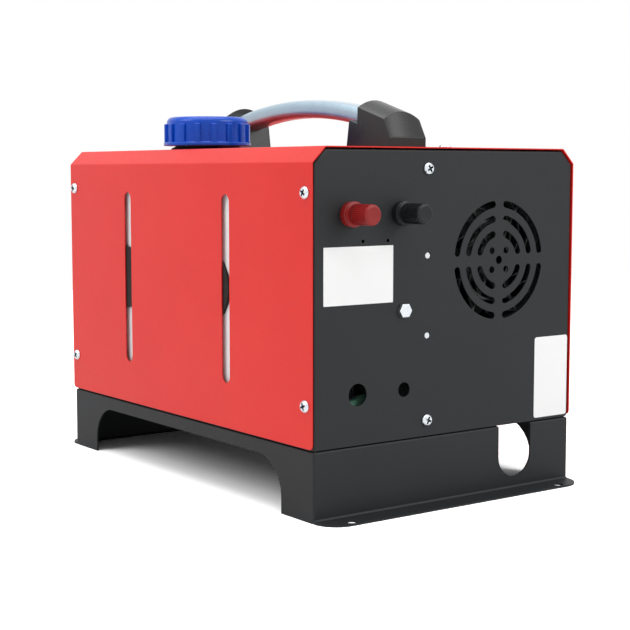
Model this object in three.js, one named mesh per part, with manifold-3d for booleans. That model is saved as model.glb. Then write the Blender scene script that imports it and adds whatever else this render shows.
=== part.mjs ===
// An all-in-one diesel air heater in a folded sheet case, in millimetres, +Z up.
// The rear, with the fan intake and the power posts, faces +Y and the warm air outlet faces -Y.
// The fuel tank fills the +X side of the case and the heater unit the -X side.

import * as THREE from 'three';
import { mergeVertices } from 'three/addons/utils/BufferGeometryUtils.js';
import Module from 'manifold-3d';

const wasm = await Module();
wasm.setup();

// Fits shared by all pieces
const seat_gap = 0.3;
const running_gap = 0.5;
const overrun = 1;

// How many flat sides stand for a round one
const fine_sides = 28;
const round_sides = 16;
const small_sides = 8;

// Stand: one folded sheet with an arch in each side and a foot flange at each end
const stand_side_inset = 1.55;
const stand_end_inset = 0.05;
const stand_height = 53.4;
const stand_sheet = 1.5;
const stand_rim = 20;
const arch_height = 42.2;
const arch_leg = 42;
const arch_corner = 30;
const foot_flange = 20.5;
const foot_corner_step = 0.5;
const foot_hole = 8.5;
const foot_hole_from_side = 24.5;
const foot_hole_from_edge = 6.5;
const pipe_slot_width = 35.4;
const pipe_slot_sill = 10.9;
const pipe_slot_offset = 19.6;

// Case: a red shell folded over two black end panels
const case_width = 266;
const case_length = 385;
const case_height = 220.3;
const case_lift = 2.8;
const shell_sheet = 1.2;
const shell_chamfer = 12;
const shell_corner = 6;
const floor_sheet = 1.5;
const panel_sheet = 1.2;
const panel_flange = 16;
const panel_recess = 0.5;
const panel_lift = 0.9;

// Case screws: their holes in the shell, the end panels and the partition flanges
const screw_hole = 5.4;
const side_screw_inset = 8.5;
const side_screw_low = 30.5;
const side_screw_drop = 33.8;
const panel_screw_low = 10.3;
const panel_screw_drop = 16.3;
const plug_hole = 5.7;
const plug_low = 76.2;
const plug_drop = 82.5;

// Level slots that show the fuel tank
const slot_width = 11;
const slot_bottom = 35;
const slot_drop = 36.3;
const slot_spacing = 159;
const slot_shift = 3.5;

// Partition between the tank bay and the heater bay
const partition_x = 23.2;
const partition_sheet = 1.2;
const partition_flange = 14;
const line_hole = 8;

// Heater unit, on an axis that runs from the fan intake to the warm air outlet
const axis_from_partition = 74.3;
const axis_drop = 88.5;
const jacket_width = 114;
const jacket_height = 120;
const jacket_corner = 44;
const jacket_wall = 2.5;
const nozzle_taper = 65.3;
const guard_standoff = 4;
const guard_depth = 12;
const guard_flange = 3;
const guard_rib = 2;
const guard_border = 5.5;
const guard_rings = 2;
const guard_spokes = 6;

// Fan wheel, motor and combustion blower on one shaft
const fan_tip_gap = 2;
const fan_depth = 20;
const fan_hub_diameter = 40;
const fan_blades = 7;
const fan_blade_sheet = 1.8;
const fan_blade_twist = 38;
const fan_from_guard = 4;
const shaft_diameter = 6;
const motor_diameter = 46;
const motor_length = 50;
const motor_to_fan = 4;
const blower_air_gap = 8.5;
const blower_depth = 34;
const blower_wall = 5;
const blower_rim = 11;
const impeller_depth = 14;
const impeller_disc = 2;
const impeller_blades = 8;

// Heat exchanger, burner and their pipes
const exchanger_front_gap = 17.4;
const exchanger_core = 76;
const fin_count = 14;
const fin_tip_gap = 6.5;
const fin_thickness = 3;
const exchanger_wall = 4;
const exchanger_foot_width = 70;
const exchanger_foot_border = 4.5;
const burner_flange_gap = 2;
const burner_flange_width = 6;
const burner_wall = 1.5;
const burner_end_gap = 45;
const pipe_diameter = 24;
const pipe_bore = 20;
const pipe_spread = 33;
const pipe_drop = 22;
const gasket_thickness = 2;
const gasket_border = 6;
const glow_plug_diameter = 9;
const glow_plug_hex = 13;
const glow_plug_head = 8;
const glow_plug_length = 24;

// Control unit above the motor, and the shelf that carries the heater unit
const control_width = 62;
const control_end_gap = 6;
const control_height = 18;
const shelf_sheet = 1.5;
const shelf_length = 250;
const shelf_foot = 12;
const shelf_side_gap = 3;

// Warm air outlet: reducer, fixed collar, turning ring and pivoting louvres
const vent_tube_diameter = 88;
const vent_tube_wall = 2.5;
const vent_tube_depth = 28;
const vent_flange_width = 10;
const vent_flange = 4;
const nozzle_wall = 2;
const nozzle_overlap = 8;
const rotor_wall = 3;
const rotor_lip_width = 5;
const rotor_projection = 22;
const rotor_depth = 20;
const louvres = 5;
const louvre_edge_gap = 4.2;
const louvre_gap = 0.9;
const louvre_thickness = 2.2;
const louvre_pin = 3;
const louvre_tab = 5;

// Fuel tank with its neck, cap, seals and pads
const tank_front_gap = 39.8;
const tank_to_pump = 23;
const tank_top_gap = 14.8;
const tank_wall = 3;
const tank_round = 11;
const tank_side_gap = 0.8;
const pad_diameter = 56;
const pad_thickness = 2;
const pad_spacing = 143;
const pad_shift = 21.5;
const neck_diameter = 52;
const neck_wall = 5;
const cap_edge_gap = 8.5;
const cap_shift = 36;
const cap_skirt_width = 2.7;
const cap_side = 9;
const cap_skirt_height = 3;
const cap_height = 24.5;
const cap_round = 5;
const cap_rib_top = 18.6;
const cap_rib_width = 5;
const cap_ribs = 16;
const cap_wall = 4;
const cap_seal_thickness = 2.5;
const neck_above_case = 17;
const grommet_width = 7;
const grommet_height = 3.2;

// Fuel pump, its holder and the fuel lines
const pump_height = 97;
const pump_diameter = 27;
const pump_length = 70;
const pump_spigot = 8;
const pump_spigot_length = 12;
const pump_behind_panel = 34;
const holder_wall = 3;
const holder_height = 24;
const bolt_hex = 10.4;
const bolt_head = 4;
const bolt_diameter = 6;
const bolt_length = 14;
const tank_spigot_length = 10;
const tank_spigot_height = 18;
const tank_spigot_inset = 24;
const suction_hose_diameter = 9;
const fuel_line_diameter = 5;
const burner_inlet_diameter = 7;

// Power posts and the other holes of the rear panel
const post_spacing = 48.8;
const post_shift = 6.3;
const post_drop = 49.7;
const post_base_diameter = 19.3;
const post_base = 9;
const post_stud_diameter = 6;
const post_nut_diameter = 13;
const post_inside = 12;
const post_hole = 9;
const washer_diameter = 15;
const washer_thickness = 1.2;
const knob_diameter = 15.7;
const knob_length = 15;
const knob_ridges = 16;
const knob_ridge = 0.5;
const hose_hole = 17;
const hose_hole_from_posts = 16.8;
const cable_hole = 11.3;
const cable_hole_from_posts = 27.8;
const low_hole_height = 36.2;
const lamp_hole = 2.8;
const lamp_spacing = 23.6;
const lamp_shift = 0.4;
const lamp_drop = 20.2;
const intake_outer_radii = [47.4, 35.8, 24.2];
const intake_slot_width = 5.6;
const intake_web = 8;
const intake_small_hole = 5.5;
const intake_small_spacing = 15.1;
const intake_centre_hole = 6.6;

// Control panel on the front
const control_case_width = 80;
const control_case_height = 100;
const control_case_corner = 10;
const control_case_depth = 11;
const control_case_wall = 3;
const control_rear_depth = 12;
const control_cutout_border = 8;
const control_panel_drop = 82.3;
const lens_border = 11;
const lens_gap = 5;
const lens_thickness = 2;
const button_diameter = 10;
const button_proud = 1.8;
const button_flange = 12.4;
const button_travel = 1;
const button_spacing = 13;
const button_low = 19;
const board_thickness = 1.6;

// Handle: a bent oval tube between two moulded feet
const foot_width = 38;
const handle_foot_length = 57;
const foot_band = 8.5;
const foot_ledge_height = 21.5;
const foot_ridge_height = 40.5;
const foot_tail_height = 29;
const foot_ledge = 15;
const foot_ridge_angle = 40;
const foot_taper = 6;
const foot_reach = 140;
const tube_width = 24;
const tube_thickness = 15.6;
const tube_rise = 43.4;
const tube_end_rise = 28;
const tube_embed = 16;

// Places worked out from the sizes above
const stand_width = case_width - stand_side_inset * 2;
const stand_length = case_length - stand_end_inset * 2;
const stand_top = stand_height;
const foot_corner = foot_flange - foot_corner_step;
const floor_bottom = stand_top + seat_gap;
const floor_top = floor_bottom + floor_sheet;
const shell_bottom = stand_top + case_lift;
const shell_top = shell_bottom + case_height;
const shell_inside = case_width / 2 - shell_sheet;
const shell_ceiling = shell_top - shell_sheet;
const panel_half_width = shell_inside - seat_gap;
const panel_top = shell_ceiling - seat_gap;
const panel_bottom = stand_top + panel_lift;
const panel_face = case_length / 2 - panel_recess;
const panel_inner = panel_face - panel_sheet;
const floor_half_width = panel_half_width - panel_sheet - seat_gap;
const floor_half_length = panel_inner - seat_gap;
const side_screw_heights = [shell_bottom + side_screw_low, shell_top - side_screw_drop];
const panel_screw_heights = [shell_bottom + panel_screw_low, shell_top - panel_screw_drop];
const plug_heights = [shell_bottom + plug_low, shell_top - plug_drop];
const slot_low = shell_bottom + slot_bottom;
const slot_high = shell_top - slot_drop;
const axis_x = partition_x - axis_from_partition;
const axis_z = shell_top - axis_drop;
const partition_web = partition_x + partition_flange / 2;
const partition_top = panel_top - Math.max(panel_sheet, grommet_height / 2) - seat_gap;
const tank_inner_x = partition_web + tank_side_gap;
const tank_outer_x = shell_inside - pad_thickness - seat_gap - seat_gap;
const tank_centre_x = (tank_inner_x + tank_outer_x) / 2;
const holder_radius = pump_diameter / 2 + seat_gap + holder_wall;
const pump_x = partition_web + seat_gap + holder_radius;
const pump_y = panel_inner - pump_behind_panel;
const pump_z = shell_bottom + pump_height;
const tank_front = -panel_inner + tank_front_gap;
const tank_rear = pump_y - holder_radius - tank_to_pump;
const tank_bottom = floor_top + seat_gap;
const tank_top = shell_ceiling - tank_top_gap;
const neck_bore = neck_diameter - neck_wall * 2;
const grommet_diameter = neck_diameter + grommet_width * 2;
const cap_x = case_width / 2 - shell_chamfer - grommet_diameter / 2 - cap_edge_gap;
const cap_y = -cap_shift;
const cap_diameter = neck_diameter + cap_side * 2;
const cap_skirt_diameter = cap_diameter + cap_skirt_width * 2;
const guard_rear = panel_inner - guard_standoff;
const jacket_rear = guard_rear - guard_depth - seat_gap;
const nozzle_front = -panel_inner + vent_tube_depth - nozzle_overlap;
const jacket_front = nozzle_front + nozzle_taper;
const jacket_room = Math.min(jacket_width, jacket_height) - jacket_wall * 2;
const guard_opening = jacket_room - guard_border * 2;
const fan_diameter = guard_opening - fan_tip_gap * 2;
const blower_diameter = jacket_room - blower_air_gap * 2;
const impeller_diameter = blower_diameter - blower_rim * 2;
const fin_tip = jacket_room / 2 - fin_tip_gap;
const fan_rear = jacket_rear - fan_from_guard;
const fan_front = fan_rear - fan_depth;
const motor_rear = fan_front - motor_to_fan;
const motor_front = motor_rear - motor_length;
const blower_rear = motor_front - seat_gap;
const blower_front = blower_rear - blower_depth;
const exchanger_rear = blower_front - seat_gap;
const exchanger_front = jacket_front + exchanger_front_gap;
const burner_flange = exchanger_core - exchanger_wall * 2 - burner_flange_gap * 2;
const burner_diameter = burner_flange - burner_flange_width * 2;
const burner_length = exchanger_rear - exchanger_front - burner_end_gap;
const exchanger_foot_length = pipe_spread + pipe_diameter + exchanger_foot_border * 2;
const foot_y = exchanger_rear - exchanger_foot_length / 2 - exchanger_wall;
const jacket_floor = axis_z - jacket_height / 2;
const foot_bottom = jacket_floor - seat_gap;
const gasket_top = foot_bottom - seat_gap;
const shelf_top = gasket_top - gasket_thickness - seat_gap;
const vent_face = -panel_face - seat_gap;
const vent_bore = vent_tube_diameter / 2 - vent_tube_wall;
const vent_flange_diameter = vent_tube_diameter + vent_flange_width * 2;
const rotor_lip_diameter = vent_tube_diameter + rotor_lip_width * 2;
const louvre_room = vent_bore - running_gap - rotor_wall - running_gap;
const louvre_pitch = ((louvre_room - louvre_edge_gap + louvre_gap / 2) * 2) / louvres;
const louvre_width = louvre_pitch - louvre_gap;
const post_x = tank_centre_x - post_shift;
const post_z = shell_top - post_drop;
const post_face = panel_face + seat_gap + post_base;
const control_x = tank_centre_x;
const control_z = shell_top - control_panel_drop;
const button_row_z = control_z - control_case_height / 2 + button_low + button_spacing;
const lens_low = button_row_z + button_spacing + button_diameter / 2 + lens_gap;
const lens_high = control_z + control_case_height / 2 - lens_border;

// Merges shared corners, drops collapsed triangles and turns the faces outwards.
function clean(geometry) {
  const bare = geometry.clone();
  bare.deleteAttribute('normal');
  bare.deleteAttribute('uv');
  const merged = mergeVertices(bare);
  const corners = merged.index.array;
  const at = merged.attributes.position;
  const kept = [];
  const [a, b, c] = [new THREE.Vector3(), new THREE.Vector3(), new THREE.Vector3()];
  let volume = 0;
  for (let i = 0; i < corners.length; i += 3) {
    const [p, q, r] = [corners[i], corners[i + 1], corners[i + 2]];
    if (p === q || q === r || r === p) continue;
    kept.push(p, q, r);
    b.fromBufferAttribute(at, q).cross(c.fromBufferAttribute(at, r));
    volume += a.fromBufferAttribute(at, p).dot(b);
  }
  if (volume < 0) kept.reverse();
  merged.setIndex(kept);
  return merged;
}

function toSolid(geometry) {
  const tidy = clean(geometry);
  const vertProperties = new Float32Array(tidy.attributes.position.array);
  const triVerts = new Uint32Array(tidy.index.array);
  return new wasm.Manifold(new wasm.Mesh({ numProp: 3, vertProperties, triVerts }));
}

function toGeometry(solid) {
  const mesh = solid.getMesh();
  const geometry = new THREE.BufferGeometry();
  geometry.setAttribute('position', new THREE.BufferAttribute(mesh.vertProperties, 3));
  geometry.setIndex(new THREE.BufferAttribute(mesh.triVerts, 1));
  return geometry;
}

function cut(base, ...tools) {
  let solid = toSolid(base);
  for (const tool of tools.flat()) solid = solid.subtract(toSolid(tool));
  return toGeometry(solid);
}

function join(...pieces) {
  const [first, ...others] = pieces.flat();
  let solid = toSolid(first);
  for (const other of others) solid = solid.add(toSolid(other));
  return toGeometry(solid);
}

function common(first, second) {
  return toGeometry(toSolid(first).intersect(toSolid(second)));
}

// Points of an arc from one angle to another, in degrees.
function arc(x, y, radius, from, to, steps) {
  const points = [];
  for (let i = 0; i <= steps; i++) {
    const angle = THREE.MathUtils.degToRad(from + ((to - from) * i) / steps);
    points.push(new THREE.Vector2(x + radius * Math.cos(angle), y + radius * Math.sin(angle)));
  }
  return points;
}

function circle(x, y, radius, sides) {
  return arc(x, y, radius, 0, 360, sides).slice(0, -1);
}

function rounded(x, y, width, height, radius, steps) {
  const [w, h] = [width / 2 - radius, height / 2 - radius];
  return [
    ...arc(x + w, y + h, radius, 0, 90, steps),
    ...arc(x - w, y + h, radius, 90, 180, steps),
    ...arc(x - w, y - h, radius, 180, 270, steps),
    ...arc(x + w, y - h, radius, 270, 360, steps),
  ];
}

function corner(x, y) {
  return new THREE.Vector2(x, y);
}

// A plate of the given outline in X-Y, thick along +Z from zero.
function plate(outline, thickness, holes = []) {
  const shape = new THREE.Shape(outline);
  shape.holes = holes.map((hole) => new THREE.Path(hole));
  return new THREE.ExtrudeGeometry(shape, { depth: thickness, bevelEnabled: false });
}

// An outline in X-Z that is thick along Y, between two places on it.
function across(outline, from, to, holes) {
  return plate(outline, to - from, holes).rotateX(Math.PI / 2).translate(0, to, 0);
}

// An outline in Y-Z that is thick along X, between two places on it.
function sideways(outline, from, to, holes) {
  return plate(outline, to - from, holes).rotateX(Math.PI / 2).rotateZ(Math.PI / 2).translate(from, 0, 0);
}

function block(x0, x1, y0, y1, z0, z1) {
  const box = new THREE.BoxGeometry(x1 - x0, y1 - y0, z1 - z0);
  return box.translate((x0 + x1) / 2, (y0 + y1) / 2, (z0 + z1) / 2);
}

// Rods along one axis, between two places on it.
function rodX(radius, y, z, from, to, sides) {
  return sideways(circle(y, z, radius, sides), from, to);
}

function rodY(radius, x, z, from, to, sides) {
  return across(circle(x, z, radius, sides), from, to);
}

function rodZ(radius, x, y, from, to, sides) {
  return plate(circle(x, y, radius, sides), to - from).translate(0, 0, from);
}

// A profile of [radius, height] pairs turned about a vertical axis.
function turned(profile, sides) {
  const points = profile.map(([radius, height]) => corner(radius, height));
  return new THREE.LatheGeometry(points, sides).rotateX(Math.PI / 2);
}

// The same about the heater's axis direction: the profile's height runs along +Y.
function turnedY(profile, sides, x, y, z) {
  return turned(profile, sides).rotateX(-Math.PI / 2).translate(x, y, z);
}

// A round tube along a smooth curve through the points.
function hose(points, radius, sides, steps) {
  const path = new THREE.CatmullRomCurve3(points.map((p) => new THREE.Vector3(...p)), false, 'centripetal');
  const shape = new THREE.Shape(circle(0, 0, radius, sides));
  return new THREE.ExtrudeGeometry(shape, { steps, extrudePath: path });
}

// A closed skin over rings of equal count, with each end closed by a zip across its ring.
function loft(rings) {
  const count = rings[0].length;
  const positions = rings.flat().flatMap((p) => [p.x, p.y, p.z]);
  const index = [];
  for (let r = 0; r + 1 < rings.length; r++) {
    for (let i = 0; i < count; i++) {
      const [a, b] = [r * count + i, r * count + ((i + 1) % count)];
      index.push(a, b, b + count, a, b + count, a + count);
    }
  }
  const last = (rings.length - 1) * count;
  for (let i = 0; i + 1 < count / 2; i++) {
    const [p, q, s, t] = [i, i + 1, count - 2 - i, count - 1 - i];
    index.push(p, s, q, p, t, s);
    index.push(last + p, last + q, last + s, last + p, last + s, last + t);
  }
  const geometry = new THREE.BufferGeometry();
  geometry.setAttribute('position', new THREE.Float32BufferAttribute(positions, 3));
  geometry.setIndex(index);
  return geometry;
}

// Materials
const red_coat = { color: 0xe8453c, roughness: 0.45, metalness: 0 };
const black_coat = { color: 0x3c3e3e, roughness: 0.6, metalness: 0 };
const zinc = { color: 0xd6dde0, roughness: 0.3, metalness: 1 };
const galvanised = { color: 0xa8adb0, roughness: 0.45, metalness: 1 };
const cast_aluminium = { color: 0x9b9d9f, roughness: 0.6, metalness: 1 };
const satin_tube = { color: 0xc4ccd6, roughness: 0.32, metalness: 1 };
const black_plastic = { color: 0x303232, roughness: 0.5, metalness: 0 };
const blue_plastic = { color: 0x2448be, roughness: 0.4, metalness: 0 };
const red_plastic = { color: 0x9c3a38, roughness: 0.5, metalness: 0 };
const natural_plastic = { color: 0xe4e6e2, roughness: 0.5, metalness: 0 };
const green_hose = { color: 0x4f8f80, roughness: 0.25, metalness: 0 };
const rubber = { color: 0x1c1c1c, roughness: 0.8, metalness: 0 };
const steel = { color: 0x8d9193, roughness: 0.4, metalness: 1 };
const dark_lens = { color: 0x10161a, roughness: 0.1, metalness: 0 };
const board_green = { color: 0x1f6b45, roughness: 0.5, metalness: 0 };

const heater = new THREE.Group();

function piece(name, geometry, finish) {
  const material = new THREE.MeshStandardMaterial({ ...finish, flatShading: true });
  const mesh = new THREE.Mesh(clean(geometry), material);
  mesh.name = name;
  heater.add(mesh);
  return mesh;
}

// Stand

function archOutline() {
  const half = stand_length / 2;
  const foot = half - arch_leg;
  const spring = arch_height - arch_corner;
  return [
    corner(half, 0),
    corner(half, stand_top),
    corner(-half, stand_top),
    corner(-half, 0),
    corner(-foot, 0),
    ...arc(-foot + arch_corner, spring, arch_corner, 180, 90, 4),
    ...arc(foot - arch_corner, spring, arch_corner, 90, 0, 4),
    corner(foot, 0),
  ];
}

function footFlange() {
  const half = stand_width / 2;
  const wall = stand_length / 2 - stand_sheet;
  const edge = stand_length / 2 + foot_flange;
  const hole_y = edge - foot_hole_from_edge;
  const hole_x = half - foot_hole_from_side;
  const outline = [
    corner(half, wall),
    ...arc(half - foot_corner, edge - foot_corner, foot_corner, 0, 90, 5),
    ...arc(-half + foot_corner, edge - foot_corner, foot_corner, 90, 180, 5),
    corner(-half, wall),
  ];
  const holes = [hole_x, -hole_x].map((x) => circle(x, hole_y, foot_hole / 2, small_sides));
  return plate(outline, stand_sheet, holes);
}

// The stadium cut that lets pipes out of the rear wall, open at the top edge.
function pipeSlot() {
  const x = axis_x - pipe_slot_offset;
  const radius = pipe_slot_width / 2;
  const top = stand_top + overrun;
  const outline = [
    corner(x + radius, top),
    corner(x - radius, top),
    ...arc(x, pipe_slot_sill + radius, radius, 180, 360, 6),
  ];
  return across(outline, stand_length / 2 - stand_rim - overrun, stand_length / 2 + overrun);
}

function stand() {
  const [half_x, half_y] = [stand_width / 2, stand_length / 2];
  const rim = [
    corner(half_x, half_y),
    corner(-half_x, half_y),
    corner(-half_x, -half_y),
    corner(half_x, -half_y),
  ];
  const inner = rim.map((p) => corner(p.x - Math.sign(p.x) * stand_rim, p.y - Math.sign(p.y) * stand_rim));
  const wall = [
    corner(half_x, 0),
    corner(half_x, stand_top),
    corner(-half_x, stand_top),
    corner(-half_x, 0),
  ];
  const folded = join(
    plate(rim, stand_sheet, [inner]).translate(0, 0, stand_top - stand_sheet),
    sideways(archOutline(), half_x - stand_sheet, half_x),
    sideways(archOutline(), -half_x, -half_x + stand_sheet),
    across(wall, half_y - stand_sheet, half_y),
    across(wall, -half_y, -half_y + stand_sheet),
    footFlange(),
    footFlange().rotateZ(Math.PI),
  );
  return cut(folded, pipeSlot());
}

// Case

// The case outline seen from the end, drawn in by the given amount, open below.
function caseOutline(inset, bottom) {
  const half = case_width / 2 - inset;
  const top = shell_top - inset;
  const chamfer = shell_chamfer - inset * (2 - Math.SQRT2);
  return [
    corner(half, bottom),
    corner(half, top - chamfer),
    corner(half - chamfer, top),
    corner(-half + chamfer, top),
    corner(-half, top - chamfer),
    corner(-half, bottom),
  ];
}

// What is cut from the two lower corners of the shell's sides, at one end.
function cornerCut() {
  const end = case_length / 2;
  const outline = [
    corner(end + overrun, shell_bottom - overrun),
    corner(end + overrun, shell_bottom + shell_corner),
    ...arc(end - shell_corner, shell_bottom + shell_corner, shell_corner, 0, -90, 3),
    corner(end - shell_corner, shell_bottom - overrun),
  ];
  return sideways(outline, -case_width / 2 - overrun, case_width / 2 + overrun);
}

function levelSlot(y) {
  const radius = slot_width / 2;
  const outline = [
    ...arc(y, slot_high - radius, radius, 0, 180, 6),
    ...arc(y, slot_low + radius, radius, 180, 360, 6),
  ];
  return sideways(outline, shell_inside - overrun, case_width / 2 + overrun);
}

function sideScrewHoles() {
  const y = case_length / 2 - side_screw_inset;
  const reach = case_width / 2 + overrun;
  return side_screw_heights.flatMap((z) =>
    [y, -y].map((place) => rodX(screw_hole / 2, place, z, -reach, reach, small_sides)),
  );
}

function outerShell() {
  const outline = [...caseOutline(0, shell_bottom), ...caseOutline(shell_sheet, shell_bottom).reverse()];
  const hole = grommet_diameter / 2 - grommet_height;
  return cut(
    across(outline, -case_length / 2, case_length / 2),
    cornerCut(),
    cornerCut().rotateZ(Math.PI),
    levelSlot(-slot_shift + slot_spacing / 2),
    levelSlot(-slot_shift - slot_spacing / 2),
    sideScrewHoles(),
    rodZ(hole, cap_x, cap_y, shell_ceiling - overrun, shell_top + overrun, fine_sides),
  );
}

// An end panel as a tray, its flanges turned in under the shell, for the rear.
function panelTray() {
  const inset = shell_sheet + seat_gap;
  const inner = caseOutline(inset + panel_sheet, panel_bottom - overrun);
  const back = panel_inner - panel_flange;
  return cut(
    across(caseOutline(inset, panel_bottom), back, panel_face),
    across(inner, back - overrun, panel_inner),
    sideScrewHoles(),
  );
}

function panelHole(x, z, diameter, sides) {
  return rodY(diameter / 2, x, z, panel_inner - overrun, panel_face + overrun, sides);
}

function partitionScrewHoles() {
  return panel_screw_heights.map((z) => panelHole(partition_x, z, screw_hole, small_sides));
}

// One arc slot of the fan intake, in the first quadrant, with round ends beside the webs.
function intakeSlot(outer, turn) {
  const round_end = intake_slot_width / 2;
  const middle = outer - round_end;
  const margin = THREE.MathUtils.radToDeg(Math.asin((intake_web / 2 + round_end) / middle));
  const [from, to] = [turn + margin, turn + 90 - margin];
  const end = (angle) => {
    const turned_to = THREE.MathUtils.degToRad(angle);
    return [axis_x + middle * Math.cos(turned_to), axis_z + middle * Math.sin(turned_to)];
  };
  const eighth = 90 / 2;
  const outline = [
    ...arc(axis_x, axis_z, outer, from, to, 5),
    ...arc(...end(to), round_end, to + eighth, to + 90 + eighth, 2),
    ...arc(axis_x, axis_z, outer - intake_slot_width, to, from, 4),
    ...arc(...end(from), round_end, from + 180 + eighth, from + 270 + eighth, 2),
  ];
  return across(outline, panel_inner - overrun, panel_face + overrun);
}

function intakePattern() {
  const quarters = [0, 90, 180, 270];
  const slots = intake_outer_radii.flatMap((outer) => quarters.map((turn) => intakeSlot(outer, turn)));
  const half = intake_small_spacing / 2;
  const small = [-half, half].flatMap((x) => [-half, half].map((z) => [axis_x + x, axis_z + z]));
  return [
    ...slots,
    ...small.map(([x, z]) => panelHole(x, z, intake_small_hole, small_sides)),
    panelHole(axis_x, axis_z, intake_centre_hole, small_sides),
  ];
}

function rearPanel() {
  const low = shell_bottom + low_hole_height;
  const lamp_x = post_x + lamp_shift;
  return cut(
    panelTray(),
    intakePattern(),
    partitionScrewHoles(),
    plug_heights.map((z) => panelHole(partition_x, z, plug_hole, small_sides)),
    panelHole(pump_x, pump_z, bolt_diameter + running_gap, small_sides),
    panelHole(post_x + hose_hole_from_posts, low, hose_hole, round_sides),
    panelHole(post_x - cable_hole_from_posts, low, cable_hole, round_sides),
    panelHole(lamp_x - lamp_spacing / 2, post_z - lamp_drop, lamp_hole, small_sides),
    panelHole(lamp_x + lamp_spacing / 2, post_z - lamp_drop, lamp_hole, small_sides),
    panelHole(post_x - post_spacing / 2, post_z, post_hole, round_sides),
    panelHole(post_x + post_spacing / 2, post_z, post_hole, round_sides),
  );
}

function frontPanel() {
  const opening = vent_tube_diameter / 2 + seat_gap;
  const width = control_case_width - control_cutout_border - control_cutout_border;
  const height = control_case_height - control_cutout_border - control_cutout_border;
  const window = rounded(control_x, control_z, width, height, control_case_corner / 2, 2);
  const [from, to] = [-panel_face - overrun, -panel_inner + overrun];
  return cut(
    panelTray().rotateZ(Math.PI),
    rodY(opening, axis_x, axis_z, from, to, fine_sides),
    across(window, from, to),
    partitionScrewHoles().map((hole) => hole.translate(0, -panel_inner - panel_face, 0)),
  );
}

function chassisFloor() {
  const [x, y] = [floor_half_width, floor_half_length];
  const outline = [corner(x, y), corner(-x, y), corner(-x, -y), corner(x, -y)];
  const radius = pipe_diameter / 2 + running_gap;
  const holes = pipePlaces().map((place) => circle(axis_x, place, radius, round_sides));
  return plate(outline, floor_sheet, holes).translate(0, 0, floor_bottom);
}

// The partition seen from above is a web with a flange turned along each end panel.
function partition() {
  const y = floor_half_length;
  const flange = partition_web - partition_flange;
  const web = partition_web - partition_sheet;
  const outline = [
    corner(partition_web, y),
    corner(flange, y),
    corner(flange, y - partition_sheet),
    corner(web, y - partition_sheet),
    corner(web, -y + partition_sheet),
    corner(flange, -y + partition_sheet),
    corner(flange, -y),
    corner(partition_web, -y),
  ];
  const bottom = floor_top + seat_gap;
  const sheet = plate(outline, partition_top - bottom).translate(0, 0, bottom);
  const screws = [...panel_screw_heights, ...plug_heights].map((z) =>
    rodY(screw_hole / 2, partition_x, z, -y - overrun, y + overrun, small_sides),
  );
  const [, line_y, line_z] = lineGate();
  const line = rodX(line_hole / 2, line_y, line_z, web - overrun, partition_web + overrun, small_sides);
  return cut(sheet, screws, line);
}

// A plug that fills an unused hole of the partition line, flush with the rear panel.
function partitionPlug(z) {
  const from = floor_half_length + overrun / 2;
  return rodY(plug_hole / 2 - seat_gap, partition_x, z, from, panel_face - overrun / 5, small_sides);
}

// Heater unit

function jacketOutline(inset) {
  const width = jacket_width - inset - inset;
  const height = jacket_height - inset - inset;
  return rounded(axis_x, axis_z, width, height, jacket_corner - inset, 5);
}

function jacketTube() {
  return across(jacketOutline(0), jacket_front, jacket_rear, [jacketOutline(jacket_wall)]);
}

function jacketHalf(side) {
  const reach = jacket_width / 2 + overrun;
  const split = axis_z + (side * seat_gap) / 2;
  const far = axis_z + side * (jacket_height / 2 + overrun);
  const keep = block(
    axis_x - reach,
    axis_x + reach,
    jacket_front - overrun,
    jacket_rear + overrun,
    Math.min(split, far),
    Math.max(split, far),
  );
  return common(jacketTube(), keep);
}

function footBlock(grow, bottom, top) {
  const width = exchanger_foot_width / 2 + grow;
  const length = exchanger_foot_length / 2 + grow;
  return block(axis_x - width, axis_x + width, foot_y - length, foot_y + length, bottom, top);
}

// The hole at the jackets' seam that lets the fuel inlet out.
function inletSlot() {
  const [x, y, z] = burnerInlet();
  const radius = burner_inlet_diameter / 2 + running_gap;
  return rodX(radius, y, z, x - jacket_wall - overrun, x + overrun, small_sides);
}

function lowerJacket() {
  const opening = footBlock(seat_gap, jacket_floor - overrun, axis_z - exchanger_core / 2);
  return cut(jacketHalf(-1), opening, inletSlot());
}

function upperJacket() {
  const top = axis_z + jacket_height / 2;
  const radius = glow_plug_hex / 2 + running_gap;
  const plug = rodZ(radius, axis_x, glowPlugY(), top - jacket_wall - overrun, top + overrun, round_sides);
  return cut(jacketHalf(1), inletSlot(), plug);
}

// The two pipes that leave the exchanger's foot downwards: combustion air and exhaust.
function pipePlaces() {
  return [foot_y + pipe_spread / 2, foot_y - pipe_spread / 2];
}

function finnedOutline() {
  const core = exchanger_core / 2;
  const half_angle = (fin) => THREE.MathUtils.radToDeg(fin_thickness / 2 / fin);
  const points = [];
  for (let i = 0; i < fin_count; i++) {
    const angle = (360 * i) / fin_count;
    const [wide, narrow] = [half_angle(core), half_angle(fin_tip) / 2];
    points.push(...arc(axis_x, axis_z, core, angle - wide, angle - wide, 1).slice(1));
    points.push(...arc(axis_x, axis_z, fin_tip, angle - narrow, angle + narrow, 1));
    points.push(...arc(axis_x, axis_z, core, angle + wide, angle + wide, 1).slice(1));
  }
  return points;
}

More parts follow.
